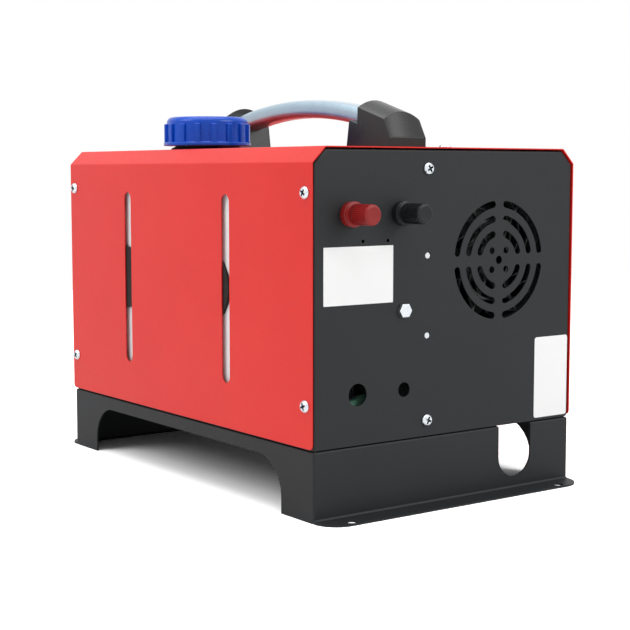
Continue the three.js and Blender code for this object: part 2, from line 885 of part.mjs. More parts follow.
function heatExchanger() {
  const core = exchanger_core / 2;
  const bore = core - exchanger_wall;
  const dome = turnedY(
    [
      [0, -core / 2],
      [core / 2, -core / 2.5],
      [core, 0],
      [bore, exchanger_wall / 2],
      [0, exchanger_wall / 2],
    ],
    round_sides,
    axis_x,
    exchanger_front,
    axis_z,
  );
  const fins = across(finnedOutline(), exchanger_front, exchanger_rear - exchanger_wall);
  const rim_front = exchanger_rear - exchanger_wall - overrun;
  const rim = rodY(core, axis_x, axis_z, rim_front, exchanger_rear, round_sides);
  const foot = footBlock(0, foot_bottom, axis_z - bore);
  const pipe_end = stand_top - pipe_drop;
  const pipes = pipePlaces().map((y) =>
    rodZ(pipe_diameter / 2, axis_x, y, pipe_end, foot_bottom + overrun, round_sides),
  );
  const bores = pipePlaces().map((y) =>
    rodZ(pipe_bore / 2, axis_x, y, pipe_end - overrun, axis_z - bore + exchanger_wall, round_sides),
  );
  return cut(
    join(fins, dome, rim, foot, pipes),
    rodY(bore, axis_x, axis_z, exchanger_front + exchanger_wall, exchanger_rear + overrun, round_sides),
    bores,
  );
}

function combustionTube() {
  const [outer, flange] = [burner_diameter / 2, burner_flange / 2];
  const inner = outer - burner_wall;
  return turnedY(
    [
      [inner, -burner_length],
      [outer, -burner_length],
      [outer, -burner_wall],
      [flange, -burner_wall],
      [flange, 0],
      [inner, 0],
      [inner, -burner_length],
    ],
    round_sides,
    axis_x,
    exchanger_rear - seat_gap,
    axis_z,
  );
}

// The cast housing of the combustion blower, a cup open to the rear that the motor closes.
function blowerHousing() {
  const outer = blower_diameter / 2;
  const cup = impeller_diameter / 2 + running_gap + running_gap;
  const plug = glow_plug_diameter / 2 + seat_gap;
  const [x, y, z] = burnerInlet();
  const inlet_end = x + burner_inlet_diameter;
  const body = rodY(outer, axis_x, axis_z, blower_front, blower_rear, round_sides);
  const inlet = rodX(burner_inlet_diameter / 2, y, z, x - outer / 2, inlet_end, small_sides);
  return cut(
    join(body, inlet),
    rodY(cup, axis_x, axis_z, blower_front + blower_wall, blower_rear - blower_wall, round_sides),
    rodY(motor_diameter / 4, axis_x, axis_z, blower_front - overrun, blower_rear + overrun, round_sides),
    rodX(fuel_line_diameter / 4, y, z, x - outer / 2, inlet_end + overrun, small_sides),
    rodZ(plug, axis_x, glowPlugY(), axis_z, axis_z + outer + overrun, small_sides),
  );
}

function burnerInlet() {
  return [axis_x + jacket_width / 2, blower_front + blower_wall + burner_inlet_diameter, axis_z];
}

function glowPlugY() {
  return blower_front + blower_depth / 2;
}

function glowPlug() {
  const base = axis_z + blower_diameter / 2 + seat_gap;
  const [radius, y] = [glow_plug_diameter / 2, glowPlugY()];
  const thread = rodZ(radius, axis_x, y, base - blower_wall, base + seat_gap, small_sides);
  const hex = rodZ(glow_plug_hex / 2, axis_x, y, base, base + glow_plug_head, 6);
  const terminal = rodZ(radius / 2, axis_x, y, base, base + glow_plug_length, small_sides);
  return join(thread, hex, terminal);
}

function blowerMotor() {
  const [can, bore] = [motor_diameter / 2, shaft_diameter / 2 + running_gap];
  const step = motor_diameter / 4 - running_gap;
  return turnedY(
    [
      [bore, -blower_wall],
      [step, -blower_wall],
      [step, 0],
      [can, 0],
      [can, motor_length],
      [bore, motor_length],
      [bore, -blower_wall],
    ],
    round_sides,
    axis_x,
    motor_front,
    axis_z,
  );
}

function motorShaft() {
  const tip = fan_rear - fan_blade_sheet - fan_blade_sheet;
  const front = motor_front - blower_wall - impeller_depth;
  return rodY(shaft_diameter / 2, axis_x, axis_z, front, tip, round_sides);
}

// A fan blade, lofted from root to tip along the radius with a twist.
function fanBlade(turn) {
  const root = fan_hub_diameter / 2 - fan_blade_sheet;
  const tip = fan_diameter / 2;
  const stations = 3;
  const rings = [];
  for (let s = 0; s <= stations; s++) {
    const share = s / stations;
    const radius = root + (tip - root) * share;
    const lean = THREE.MathUtils.degToRad(fan_blade_twist + fan_blade_twist * share / 2);
    const chord = (fan_depth - fan_blade_sheet) / 2 / Math.cos(lean);
    rings.push(bladeSection(radius, lean, chord, turn));
  }
  return loft(rings);
}

// A cambered strip across the radius: forward along one face, back along the other.
function bladeSection(radius, lean, chord, turn) {
  const middle = (fan_rear + fan_front) / 2;
  const shares = [-1, 0, 1];
  const camber_share = 0.12;
  const faces = [1, -1];
  return faces.flatMap((face) => {
    const row = shares.map((share) => {
      const camber = chord * camber_share * (1 - share * share);
      const along = share * chord;
      const off = camber + (face * fan_blade_sheet) / 2;
      const around = (along * Math.sin(lean) + off * Math.cos(lean)) / radius + turn;
      const y = middle + along * Math.cos(lean) - off * Math.sin(lean);
      const [right, up] = [radius * Math.cos(around), radius * Math.sin(around)];
      return new THREE.Vector3(axis_x + right, THREE.MathUtils.clamp(y, fan_front, fan_rear), axis_z + up);
    });
    return face > 0 ? row : row.reverse();
  });
}

function fanWheel() {
  const hub = fan_hub_diameter / 2;
  const bore = shaft_diameter / 2 + seat_gap;
  const inside = hub - fan_blade_sheet - fan_blade_sheet;
  const boss = bore + fan_blade_sheet;
  const body = turnedY(
    [
      [bore, 0],
      [boss, 0],
      [boss, fan_depth - fan_blade_sheet * 3],
      [inside, fan_depth - fan_blade_sheet * 4],
      [inside, 0],
      [hub, 0],
      [hub, fan_depth - fan_blade_sheet * 3],
      [hub - fan_blade_sheet * 3, fan_depth - fan_blade_sheet],
      [0, fan_depth],
      [0, fan_depth - fan_blade_sheet],
      [bore, fan_depth - fan_blade_sheet],
      [bore, 0],
    ],
    round_sides,
    axis_x,
    fan_front,
    axis_z,
  );
  const blades = [];
  for (let i = 0; i < fan_blades; i++) blades.push(fanBlade((2 * Math.PI * i) / fan_blades));
  return join(body, blades);
}

function impeller() {
  const outer = impeller_diameter / 2;
  const bore = shaft_diameter / 2 + seat_gap;
  const front = motor_front - blower_wall - impeller_depth;
  const back = motor_front - blower_wall - running_gap;
  const disc = rodY(outer, axis_x, axis_z, back - impeller_disc, back, round_sides);
  const boss = rodY(bore + impeller_disc, axis_x, axis_z, front, back, small_sides);
  const blades = [];
  for (let i = 0; i < impeller_blades; i++) {
    const blade = block(outer / 2, outer - impeller_disc, front, back, -impeller_disc / 2, impeller_disc / 2);
    blades.push(blade.rotateY((2 * Math.PI * i) / impeller_blades).translate(axis_x, 0, axis_z));
  }
  const hole = rodY(bore, axis_x, axis_z, front - overrun, back + overrun, small_sides);
  return cut(join(disc, boss, blades), hole);
}

// The moulded guard behind the intake slots: a flange on the jacket, rings and spokes.
function intakeGuard() {
  const opening = guard_opening / 2;
  const [front, rib_front, half] = [guard_rear - guard_depth, guard_rear - guard_flange, guard_rib / 2];
  const mouth = circle(axis_x, axis_z, opening, fine_sides);
  const flange = across(jacketOutline(0), front, front + guard_flange, [mouth]);
  const tube = ringY(opening + guard_rib, opening, front, guard_rear, fine_sides);
  const rings = [];
  for (let i = 1; i <= guard_rings; i++) {
    const radius = (opening * i) / (guard_rings + 1);
    rings.push(ringY(radius + half, radius - half, rib_front, guard_rear, round_sides));
  }
  const spokes = [];
  for (let i = 0; i < guard_spokes; i++) {
    const start = opening / (guard_rings + 1);
    const spoke = block(start, opening + half, rib_front, guard_rear, -half, half);
    spokes.push(spoke.rotateY((2 * Math.PI * i) / guard_spokes).translate(axis_x, 0, axis_z));
  }
  return join(flange, tube, rings, spokes);
}

function ringY(outer, inner, from, to, sides) {
  return across(circle(axis_x, axis_z, outer, sides), from, to, [circle(axis_x, axis_z, inner, sides)]);
}

function heaterGasket() {
  const width = exchanger_foot_width / 2 + gasket_border;
  const length = exchanger_foot_length / 2 + gasket_border;
  const outline = rounded(axis_x, foot_y, width + width, length + length, gasket_border, 3);
  const holes = pipePlaces().map((y) => circle(axis_x, y, pipe_diameter / 2 + seat_gap, round_sides));
  return plate(outline, gasket_thickness, holes).translate(0, 0, gasket_top - gasket_thickness);
}

// The shelf is a hat-shaped sheet: two feet on the floor, two legs and a top.
function heaterShelf() {
  const left = -floor_half_width + shelf_side_gap;
  const right = partition_web - partition_sheet - shelf_side_gap;
  const [bottom, top, sheet] = [floor_top + seat_gap, shelf_top, shelf_sheet];
  const outline = [
    corner(left, bottom),
    corner(left + shelf_foot, bottom),
    corner(left + shelf_foot, top - sheet),
    corner(right - shelf_foot, top - sheet),
    corner(right - shelf_foot, bottom),
    corner(right, bottom),
    corner(right, bottom + sheet),
    corner(right - shelf_foot + sheet, bottom + sheet),
    corner(right - shelf_foot + sheet, top),
    corner(left + shelf_foot - sheet, top),
    corner(left + shelf_foot - sheet, bottom + sheet),
    corner(left, bottom + sheet),
  ];
  const radius = pipe_diameter / 2 + running_gap;
  const holes = pipePlaces().map((y) =>
    rodZ(radius, axis_x, y, top - sheet - overrun, top + overrun, round_sides),
  );
  return cut(across(outline, foot_y - shelf_length / 2, foot_y + shelf_length / 2), holes);
}

function controlUnit() {
  const shoulder = jacket_corner - jacket_wall;
  const overhang = Math.max(0, control_width / 2 - jacket_width / 2 + jacket_corner);
  const drop = shoulder - Math.sqrt(shoulder * shoulder - overhang * overhang);
  const top = axis_z + jacket_height / 2 - jacket_wall - drop - running_gap - seat_gap;
  const rear = motor_rear - seat_gap;
  const control_length = motor_length - control_end_gap;
  const middle = rear - control_length / 2;
  const outline = rounded(axis_x, middle, control_width, control_length, control_height / 4, 3);
  return plate(outline, control_height).translate(0, 0, top - control_height);
}

// Warm air outlet

// How far the jacket's outline lies from the axis in one direction.
function jacketReach(angle, inset) {
  const [w, h, r] = [jacket_width / 2 - inset, jacket_height / 2 - inset, jacket_corner - inset];
  const [c, s] = [Math.abs(Math.cos(angle)), Math.abs(Math.sin(angle))];
  if (w * s <= (h - r) * c) return w / c;
  if (h * c <= (w - r) * s) return h / s;
  const towards = c * (w - r) + s * (h - r);
  return towards + Math.sqrt(towards * towards - (w - r) ** 2 - (h - r) ** 2 + r * r);
}

// One ring of the reducer, between the jacket's outline and a circle.
function nozzleRing(y, share, jacket_inset, radius) {
  const ring = [];
  for (let i = 0; i < fine_sides; i++) {
    const angle = (2 * Math.PI * i) / fine_sides;
    const reach = THREE.MathUtils.lerp(jacketReach(angle, jacket_inset), radius, share);
    ring.push(new THREE.Vector3(axis_x + reach * Math.cos(angle), y, axis_z + reach * Math.sin(angle)));
  }
  return ring;
}

function nozzleSkin(jacket_inset, radius, grow) {
  const back = jacket_front - seat_gap;
  const taper_end = nozzle_front + nozzle_overlap + nozzle_overlap;
  return loft([
    nozzleRing(back + grow, 0, jacket_inset, radius),
    nozzleRing(taper_end, 1, jacket_inset, radius),
    nozzleRing(nozzle_front - grow, 1, jacket_inset, radius),
  ]);
}

function outletNozzle() {
  const inner = vent_tube_diameter / 2 + seat_gap;
  return cut(nozzleSkin(0, inner + nozzle_wall, 0), nozzleSkin(nozzle_wall, inner, overrun));
}

// The fixed collar: a tube through the front panel with a flange on its face.
function ventCollar() {
  const [tube, flange] = [vent_tube_diameter / 2, vent_flange_diameter / 2];
  const back = -panel_inner + vent_tube_depth;
  return turnedY(
    [
      [vent_bore, vent_face - vent_flange],
      [flange - vent_flange / 2, vent_face - vent_flange],
      [flange, vent_face - vent_flange / 2],
      [flange, vent_face],
      [tube, vent_face],
      [tube, back],
      [vent_bore, back],
      [vent_bore, vent_face - vent_flange],
    ],
    fine_sides,
    axis_x,
    0,
    axis_z,
  );
}

// The turning ring: a sleeve inside the collar with a lip over the collar's flange.
function ventRotor() {
  const sleeve = vent_bore - running_gap;
  const inner = sleeve - rotor_wall;
  const lip = rotor_lip_diameter / 2;
  const lip_back = vent_face - vent_flange - running_gap;
  const front = vent_face - vent_flange - rotor_projection;
  const waist = (lip + sleeve) / 2;
  const ring = turnedY(
    [
      [inner, front],
      [sleeve, front],
      [waist, front + rotor_wall],
      [lip, lip_back - rotor_wall],
      [lip, lip_back],
      [sleeve, lip_back],
      [sleeve, lip_back + rotor_depth],
      [inner, lip_back + rotor_depth],
      [inner, front],
    ],
    fine_sides,
    axis_x,
    0,
    axis_z,
  );
  const sockets = louvrePlaces().map((z) =>
    rodX(louvre_pin / 2 + seat_gap, louvreY(), z, axis_x - socketEnd(), axis_x + socketEnd(), small_sides),
  );
  return cut(ring, sockets);
}

function louvreY() {
  return vent_face - vent_flange - rotor_projection / 2;
}

function socketEnd() {
  return vent_bore - running_gap - rotor_wall / 3;
}

function louvrePlaces() {
  const places = [];
  for (let i = 0; i < louvres; i++) places.push(axis_z + (i - (louvres - 1) / 2) * louvre_pitch);
  return places;
}

// A louvre whose round ends clear the ring at every angle, on two pins, the middle one with a tab.
function louvre(z) {
  const off_axis = Math.abs(z - axis_z);
  const half = louvre_width / 2;
  const steps = 3;
  const right = [];
  for (let i = -steps; i <= steps; i++) {
    const along = (half * i) / steps;
    const side = off_axis + Math.abs(along);
    right.push(corner(Math.sqrt(louvre_room * louvre_room - side * side), along));
  }
  const left = right.map((p) => corner(-p.x, p.y)).reverse();
  const flat = plate([...right, ...left], louvre_thickness);
  const blade = flat.translate(axis_x, louvreY(), z - louvre_thickness / 2);
  const pin_end = Math.sqrt(socketEnd() ** 2 - off_axis ** 2) - seat_gap;
  const pin = rodX(louvre_pin / 2, louvreY(), z, axis_x - pin_end, axis_x + pin_end, small_sides);
  const tab = block(
    axis_x - louvre_tab,
    axis_x + louvre_tab,
    louvreY() - half - louvre_tab / 2,
    louvreY() - half + louvre_thickness,
    z - louvre_thickness,
    z + louvre_thickness,
  );
  return off_axis < seat_gap ? join(blade, pin, tab) : join(blade, pin);
}

// Fuel tank

// A blow-moulded box with rounded edges, drawn in by a wall.
function tankForm(inset) {
  const width = tank_outer_x - tank_inner_x - inset - inset;
  const length = tank_rear - tank_front - inset - inset;
  const height = tank_top - tank_bottom - inset - inset;
  const round_by = tank_round - inset;
  const outline = rounded(0, 0, length - round_by * 2, height - round_by * 2, tank_round, 3);
  const options = {
    depth: width - round_by * 2,
    bevelEnabled: true,
    bevelThickness: round_by,
    bevelSize: round_by,
    bevelSegments: 3,
  };
  const form = new THREE.ExtrudeGeometry(new THREE.Shape(outline), options);
  const placed = form.rotateX(Math.PI / 2).rotateZ(Math.PI / 2);
  return placed.translate(
    tank_inner_x + inset + round_by,
    (tank_front + tank_rear) / 2,
    (tank_bottom + tank_top) / 2,
  );
}

function tankSpigot() {
  return [tank_outer_x - tank_spigot_inset, tank_rear + tank_spigot_length, tank_bottom + tank_spigot_height];
}

function fuelTank() {
  const neck_top = shell_top + neck_above_case;
  const [x, y, z] = tankSpigot();
  const spigot = suction_hose_diameter / 2;
  const neck = rodZ(neck_diameter / 2, cap_x, cap_y, tank_top - tank_wall, neck_top, fine_sides);
  return cut(
    join(tankForm(0), neck, rodY(spigot, x, z, tank_rear - tank_wall, y, small_sides)),
    tankForm(tank_wall),
    rodZ(neck_bore / 2, cap_x, cap_y, tank_top - tank_wall - tank_wall, neck_top + overrun, round_sides),
    rodY(spigot / 2, x, z, tank_rear - tank_wall - tank_wall, y + overrun, small_sides),
  );
}

function tankPad(y) {
  const z = (slot_low + slot_high) / 2;
  const face = tank_outer_x + seat_gap;
  return rodX(pad_diameter / 2, y, z, face, face + pad_thickness, round_sides);
}

// The rubber ring in the shell's filler hole: a groove holds the sheet, a lip lies on top.
function neckGrommet() {
  const bore = neck_diameter / 2 + seat_gap;
  const edge = grommet_diameter / 2;
  const groove = edge - grommet_height - seat_gap;
  const [under, over] = [shell_ceiling - seat_gap, shell_top + seat_gap];
  return turned(
    [
      [bore, under - grommet_height / 2],
      [edge, under - grommet_height / 2],
      [edge, under],
      [groove, under],
      [groove, over],
      [edge, over],
      [edge - grommet_height / 2, shell_top + grommet_height],
      [bore, shell_top + grommet_height],
      [bore, under - grommet_height / 2],
    ],
    fine_sides,
  ).translate(cap_x, cap_y, 0);
}

function capBottom() {
  return shell_top + grommet_height + seat_gap;
}

function fillerCap() {
  const bottom = capBottom();
  const top = bottom + cap_height;
  const [skirt, outer] = [cap_skirt_diameter / 2, cap_diameter / 2];
  const bore = neck_diameter / 2 + running_gap;
  const ceiling = shell_top + neck_above_case + seat_gap + cap_seal_thickness + seat_gap;
  const body = turned(
    [
      [bore, bottom],
      [skirt, bottom],
      [skirt, bottom + cap_skirt_height],
      [outer, bottom + cap_skirt_height],
      [outer, top - cap_round],
      [outer - cap_round / 3, top - cap_round / 3],
      [outer - cap_round, top],
      [0, top],
      [0, ceiling],
      [bore, ceiling],
      [bore, bottom],
    ],
    fine_sides,
  );
  const ribs = [];
  for (let i = 0; i < cap_ribs; i++) {
    const rib = block(
      outer - cap_wall,
      skirt - seat_gap,
      -cap_rib_width / 2,
      cap_rib_width / 2,
      bottom + cap_skirt_height / 2,
      bottom + cap_rib_top,
    );
    ribs.push(rib.rotateZ((2 * Math.PI * i) / cap_ribs));
  }
  return join(body, ribs).translate(cap_x, cap_y, 0);
}

function capSeal() {
  const bottom = shell_top + neck_above_case + seat_gap;
  const outline = circle(cap_x, cap_y, neck_diameter / 2, fine_sides);
  return plate(outline, cap_seal_thickness).translate(0, 0, bottom);
}

// Fuel pump and lines

function fuelPump() {
  const [body, spigot] = [pump_diameter / 2, pump_spigot / 2];
  const half = pump_length / 2;
  const shoulder = half - pump_spigot;
  const end = half + pump_spigot_length;
  return turned(
    [
      [0, -end],
      [spigot, -end],
      [spigot, -half],
      [body - spigot, -half],
      [body, -shoulder],
      [body, shoulder],
      [body - spigot, half],
      [spigot, half],
      [spigot, end],
      [0, end],
    ],
    round_sides,
  ).translate(pump_x, pump_y, pump_z);
}

// A rubber sleeve round the pump with a foot against the rear panel.
function pumpHolder() {
  const inner = holder_radius - holder_wall;
  const half = holder_height / 2;
  const foot = block(
    pump_x - holder_radius / 2,
    pump_x + holder_radius / 2,
    pump_y + inner,
    panel_inner - seat_gap,
    pump_z - half,
    pump_z + half,
  );
  const sleeve = rodZ(holder_radius, pump_x, pump_y, pump_z - half, pump_z + half, round_sides);
  const bolt_end = panel_face - bolt_length - overrun;
  return cut(
    join(sleeve, foot),
    rodZ(inner, pump_x, pump_y, pump_z - holder_height, pump_z + holder_height, round_sides),
    rodY(bolt_diameter / 2 + seat_gap, pump_x, pump_z, bolt_end, panel_face, small_sides),
  );
}

function pumpBolt() {
  const radius = bolt_hex / Math.sqrt(3);
  const head = rodY(radius, pump_x, pump_z, panel_face + seat_gap, panel_face + seat_gap + bolt_head, 6);
  const [tip, root] = [panel_face - bolt_length, panel_face + bolt_head / 2];
  return join(head, rodY(bolt_diameter / 2, pump_x, pump_z, tip, root, small_sides));
}

// From the tank's spigot round behind the hose hole and up into the pump.
function suctionHose() {
  const [x, y, z] = tankSpigot();
  const radius = suction_hose_diameter / 2;
  const pump_end = pump_z - pump_length / 2 - pump_spigot_length - seat_gap;
  const bend = suction_hose_diameter + suction_hose_diameter;
  const back = panel_inner - suction_hose_diameter - radius;
  return hose(
    [
      [x, y + seat_gap, z],
      [x, y + bend / 2, z],
      [x - bend / 3, back, z + radius],
      [(x + pump_x) / 2, back, (z + pump_end) / 2 - radius],
      [pump_x + radius, pump_y + radius, pump_end - bend],
      [pump_x, pump_y, pump_end - radius - radius / 2],
      [pump_x, pump_y, pump_end],
    ],
    radius,
    small_sides,
    24,
  );
}

// Where the fuel line goes through the partition.
function lineGate() {
  return [
    partition_web - partition_sheet / 2,
    pump_y - pump_diameter,
    pump_z + pump_length / 2 + pump_spigot_length + pump_spigot,
  ];
}

function fuelLine() {
  const [gate_x, gate_y, gate_z] = lineGate();
  const [inlet_x, inlet_y, inlet_z] = burnerInlet();
  const top = pump_z + pump_length / 2 + pump_spigot_length + seat_gap;
  const start = inlet_x + burner_inlet_diameter + seat_gap;
  const bend = fuel_line_diameter + fuel_line_diameter;
  return hose(
    [
      [pump_x, pump_y, top],
      [pump_x, pump_y, top + fuel_line_diameter],
      [pump_x - bend / 2, pump_y - bend, gate_z],
      [gate_x + bend / 2, gate_y, gate_z],
      [gate_x - bend / 2, gate_y, gate_z],
      [gate_x - bend, gate_y - bend, gate_z - bend],
      [gate_x - bend / 2, (gate_y + inlet_y) / 2, (gate_z + inlet_z) / 2],
      [start + bend / 2, inlet_y + bend / 2, inlet_z],
      [start + fuel_line_diameter / 2, inlet_y, inlet_z],
      [start, inlet_y, inlet_z],
    ],
    fuel_line_diameter / 2,
    small_sides,
    28,
  );
}

// Power posts

function powerPost(x) {
  const [base, stud, nut] = [post_base_diameter / 2, post_stud_diameter / 2, post_nut_diameter / 2];
  const start = panel_face + seat_gap;
  const inside = panel_inner - seat_gap;
  const step = base - post_base / 5;
  return turnedY(
    [
      [0, inside - post_inside],
      [stud, inside - post_inside],
      [stud, inside - post_inside / 2],
      [nut, inside - post_inside / 2],
      [nut, inside],
      [post_hole / 2 - seat_gap, inside],
      [post_hole / 2 - seat_gap, start],
      [base, start],
      [base, start + post_base / 2],
      [step, start + post_base / 2],
      [step, post_face],
      [stud, post_face],
      [stud, post_face + knob_length - washer_thickness],
      [0, post_face + knob_length - washer_thickness],
    ],
    round_sides,
    x,
    0,
    post_z,
  );
}

function postWasher(x) {
  const bore = post_stud_diameter / 2 + seat_gap;
  const start = post_face + seat_gap;
  const outline = circle(x, post_z, washer_diameter / 2, round_sides);
  return across(outline, start, start + washer_thickness, [circle(x, post_z, bore, small_sides)]);
}

// A knurled cap nut, hollow where the stud goes in.
function postKnob(x) {
  const outer = knob_diameter / 2;
  const start = post_face + seat_gap + washer_thickness + seat_gap;
  const end = start + knob_length;
  const outline = [];
  for (let i = 0; i < knob_ridges; i++) {
    const turn = (360 * i) / knob_ridges;
    const step = 360 / knob_ridges / 4;
    outline.push(...arc(x, post_z, outer, turn - step / 2, turn + step / 2, 1));
    outline.push(...arc(x, post_z, outer - knob_ridge, turn + step * 1.5, turn + step * 2.5, 1));
  }
  const bore = post_stud_diameter / 2 + seat_gap;
  const dome = turnedY(
    [
      [0, -knob_ridge],
      [bore, -knob_ridge],
      [outer - knob_ridge, 0],
      [outer - knob_ridge * 4, knob_ridge * 3],
      [0, knob_ridge * 3],
    ],
    round_sides,
    x,
    end - knob_ridge * 3,
    post_z,
  );
  return cut(
    join(across(outline, start, end - knob_ridge * 3), dome),
    rodY(bore, x, post_z, start - overrun, start + knob_length - knob_ridge * 4, round_sides),
  );
}

// Control panel

function controlFace() {
  return -panel_face - seat_gap - control_case_depth;
}

function buttonPlaces() {
  return [
    ['button_up', control_x, button_row_z + button_spacing],
    ['button_down', control_x, button_row_z - button_spacing],
    ['button_menu', control_x - button_spacing, button_row_z],
    ['button_ok', control_x, button_row_z],
    ['button_power', control_x + button_spacing, button_row_z],
  ];
}

// The lens outline on the control panel's face, drawn in by a gap.
function lensOutline(inset) {
  const width = control_case_width - (lens_border + inset) * 2;
  const height = lens_high - lens_low - inset * 2;
  return rounded(control_x, (lens_low + lens_high) / 2, width, height, control_case_corner / 4 - inset, 2);
}

function controlCase() {
  const front = controlFace();
  const [w, h, r] = [control_case_width, control_case_height, control_case_corner];
  const back = -panel_inner + control_rear_depth;
  const rear_width = w - control_cutout_border * 2 - seat_gap * 2;
  const rear_height = h - control_cutout_border * 2 - seat_gap * 2;
  const wall = control_case_wall;
  const body = join(
    across(rounded(control_x, control_z, w, h, r, 4), front, -panel_face - seat_gap),
    across(rounded(control_x, control_z, rear_width, rear_height, r / 2 - seat_gap, 2), front + wall, back),
  );
  const room = rounded(control_x, control_z, rear_width - wall * 2, rear_height - wall * 2, r / 4, 1);
  return cut(
    body,
    across(room, front + wall, back + overrun),
    across(lensOutline(0), front - overrun, front + wall + overrun),
    buttonPlaces().map(([, x, z]) =>
      rodY(button_diameter / 2 + seat_gap, x, z, front - overrun, front + wall + overrun, round_sides),
    ),
  );
}

function controlLens() {
  const front = controlFace();
  return across(lensOutline(seat_gap), front + seat_gap, front + lens_thickness);
}

function boardFront() {
  return controlFace() + control_case_wall + seat_gap + button_travel * 2 + running_gap + button_travel;
}

function controlBoard() {
  const width = control_case_width - control_cutout_border * 2 - seat_gap * 4 - control_case_wall * 2;
  const height = control_case_height - control_cutout_border * 2 - seat_gap * 4 - control_case_wall * 2;
  const outline = rounded(control_x, control_z, width, height, control_case_corner / 4, 1);
  return across(outline, boardFront(), boardFront() + board_thickness);
}

function controlButton(x, z) {
  const front = controlFace();
  const back = front + control_case_wall + seat_gap;
  const round_by = button_proud / 2;
  const outer = button_diameter / 2;
  return turnedY(
    [
      [0, front - button_proud],
      [outer - round_by, front - button_proud],
      [outer, front - button_proud + round_by],
      [outer, back],
      [button_flange / 2, back],
      [button_flange / 2, back + button_travel],
      [0, back + button_travel],
    ],
    round_sides,
    x,
    0,
    z,
  );
}

// Handle

// The tube's bow, from the middle of one end to the other in the plane x = 0.
function tubeCurve() {
  const end = tubeEnd();
  const middle = shell_top + tube_rise - tube_thickness / 2;
  const low = shell_top + tube_end_rise - tube_thickness / 2;
  const rise = middle - low;
  const radius = (end * end + rise * rise) / (2 * rise);
  const centre = middle - radius;
  const points = [];
  const half_angle = Math.asin(end / radius);
  const steps = 12;
  for (let i = -steps; i <= steps; i += 2) {
    const angle = (half_angle * i) / steps;
    points.push(new THREE.Vector3(0, radius * Math.sin(angle), centre + radius * Math.cos(angle)));
  }
  return new THREE.CatmullRomCurve3(points);
}

function tubeEnd() {
  return foot_reach - handle_foot_length + foot_ledge + tube_embed;
}

// The oval section along the bow, as a loft of equal rings.
function ovalTube(grow, extra) {
  const curve = tubeCurve();
  const rings = [];
  const stations = 12;
  const sides = 14;
  for (let s = 0; s <= stations; s++) {
    const at = curve.getPointAt(s / stations);
    const along = curve.getTangentAt(s / stations);
    const up = new THREE.Vector3(0, -along.z, along.y);
    if (s === 0) at.addScaledVector(along, -extra);
    if (s === stations) at.addScaledVector(along, extra);
    const ring = [];
    for (let i = 0; i < sides; i++) {
      const angle = (2 * Math.PI * (i + 0.5)) / sides;
      const point = at.clone().addScaledVector(up, (tube_thickness / 2 + grow) * Math.sin(angle));
      point.x += (tube_width / 2 + grow) * Math.cos(angle);
      ring.push(point);
    }
    rings.push(ring);
  }
  return loft(rings);
}

// The rear foot: a straight band, tapered flanks, a ledge under the tube and a round ridge over its end.
function handleFoot() {
  const inner = foot_reach - handle_foot_length;
  const base = shell_top + seat_gap;
  const band = base + foot_band;
  const ledge_top = base + foot_ledge_height;
  const ridge = base + foot_ridge_height;
  const tail = base + foot_tail_height;
  const side = [
    corner(inner, base),
    corner(foot_reach, base),
    corner(foot_reach, band),
    corner(foot_reach - foot_taper, tail),
    corner(inner + foot_ledge, ridge),
    corner(inner + foot_ledge, ledge_top),
    corner(inner + foot_ledge / 6, ledge_top - foot_ledge / 5),
  ];
  const half = foot_width / 2;
  const slope = foot_taper / (foot_tail_height - foot_band);
  const top_half = half - (ridge - band) * slope;
  const shoulder = ridge - top_half * 0.8;
  const front = [
    corner(half, base),
    corner(half, band),
    corner(half - (shoulder - band) * slope, shoulder),
    ...arc(0, ridge - top_half, top_half, foot_ridge_angle, 180 - foot_ridge_angle, 8),
    corner(-half + (shoulder - band) * slope, shoulder),
    corner(-half, band),
    corner(-half, base),
  ];
  const form = common(sideways(side, -half, half), across(front, inner - overrun, foot_reach + overrun));
  return cut(form, ovalTube(seat_gap, seat_gap));
}

// Assembly

piece('stand', stand(), black_coat);
piece('chassis_floor', chassisFloor(), galvanised);
piece('outer_shell', outerShell(), red_coat);
piece('rear_panel', rearPanel(), black_coat);
piece('front_panel', frontPanel(), black_coat);
piece('partition', partition(), galvanised);
piece('partition_plug_lower', partitionPlug(plug_heights[0]), natural_plastic);
piece('partition_plug_upper', partitionPlug(plug_heights[1]), natural_plastic);
piece('heater_shelf', heaterShelf(), galvanised);

piece('handle_tube', ovalTube(0, 0), satin_tube);
piece('handle_foot_rear', handleFoot(), black_plastic);
piece('handle_foot_front', handleFoot().rotateZ(Math.PI), black_plastic);

piece('fuel_tank', fuelTank(), natural_plastic);
piece('tank_pad_rear', tankPad(pad_spacing / 2 - pad_shift), rubber);
piece('tank_pad_front', tankPad(-pad_spacing / 2 - pad_shift), rubber);
piece('neck_grommet', neckGrommet(), rubber);
piece('filler_cap', fillerCap(), blue_plastic);
piece('cap_seal', capSeal(), rubber);

piece('fuel_pump', fuelPump(), steel);
piece('pump_holder', pumpHolder(), rubber);
piece('pump_bolt', pumpBolt(), zinc);
piece('suction_hose', suctionHose(), green_hose);
piece('fuel_line', fuelLine(), natural_plastic);

const posts = [
  ['positive', post_x + post_spacing / 2, red_plastic],
  ['negative', post_x - post_spacing / 2, black_plastic],
];
for (const [pole, x, finish] of posts) {
  piece(`${pole}_post`, powerPost(x), finish);
  piece(`${pole}_washer`, postWasher(x), zinc);
  piece(`${pole}_knob`, postKnob(x), finish);
}

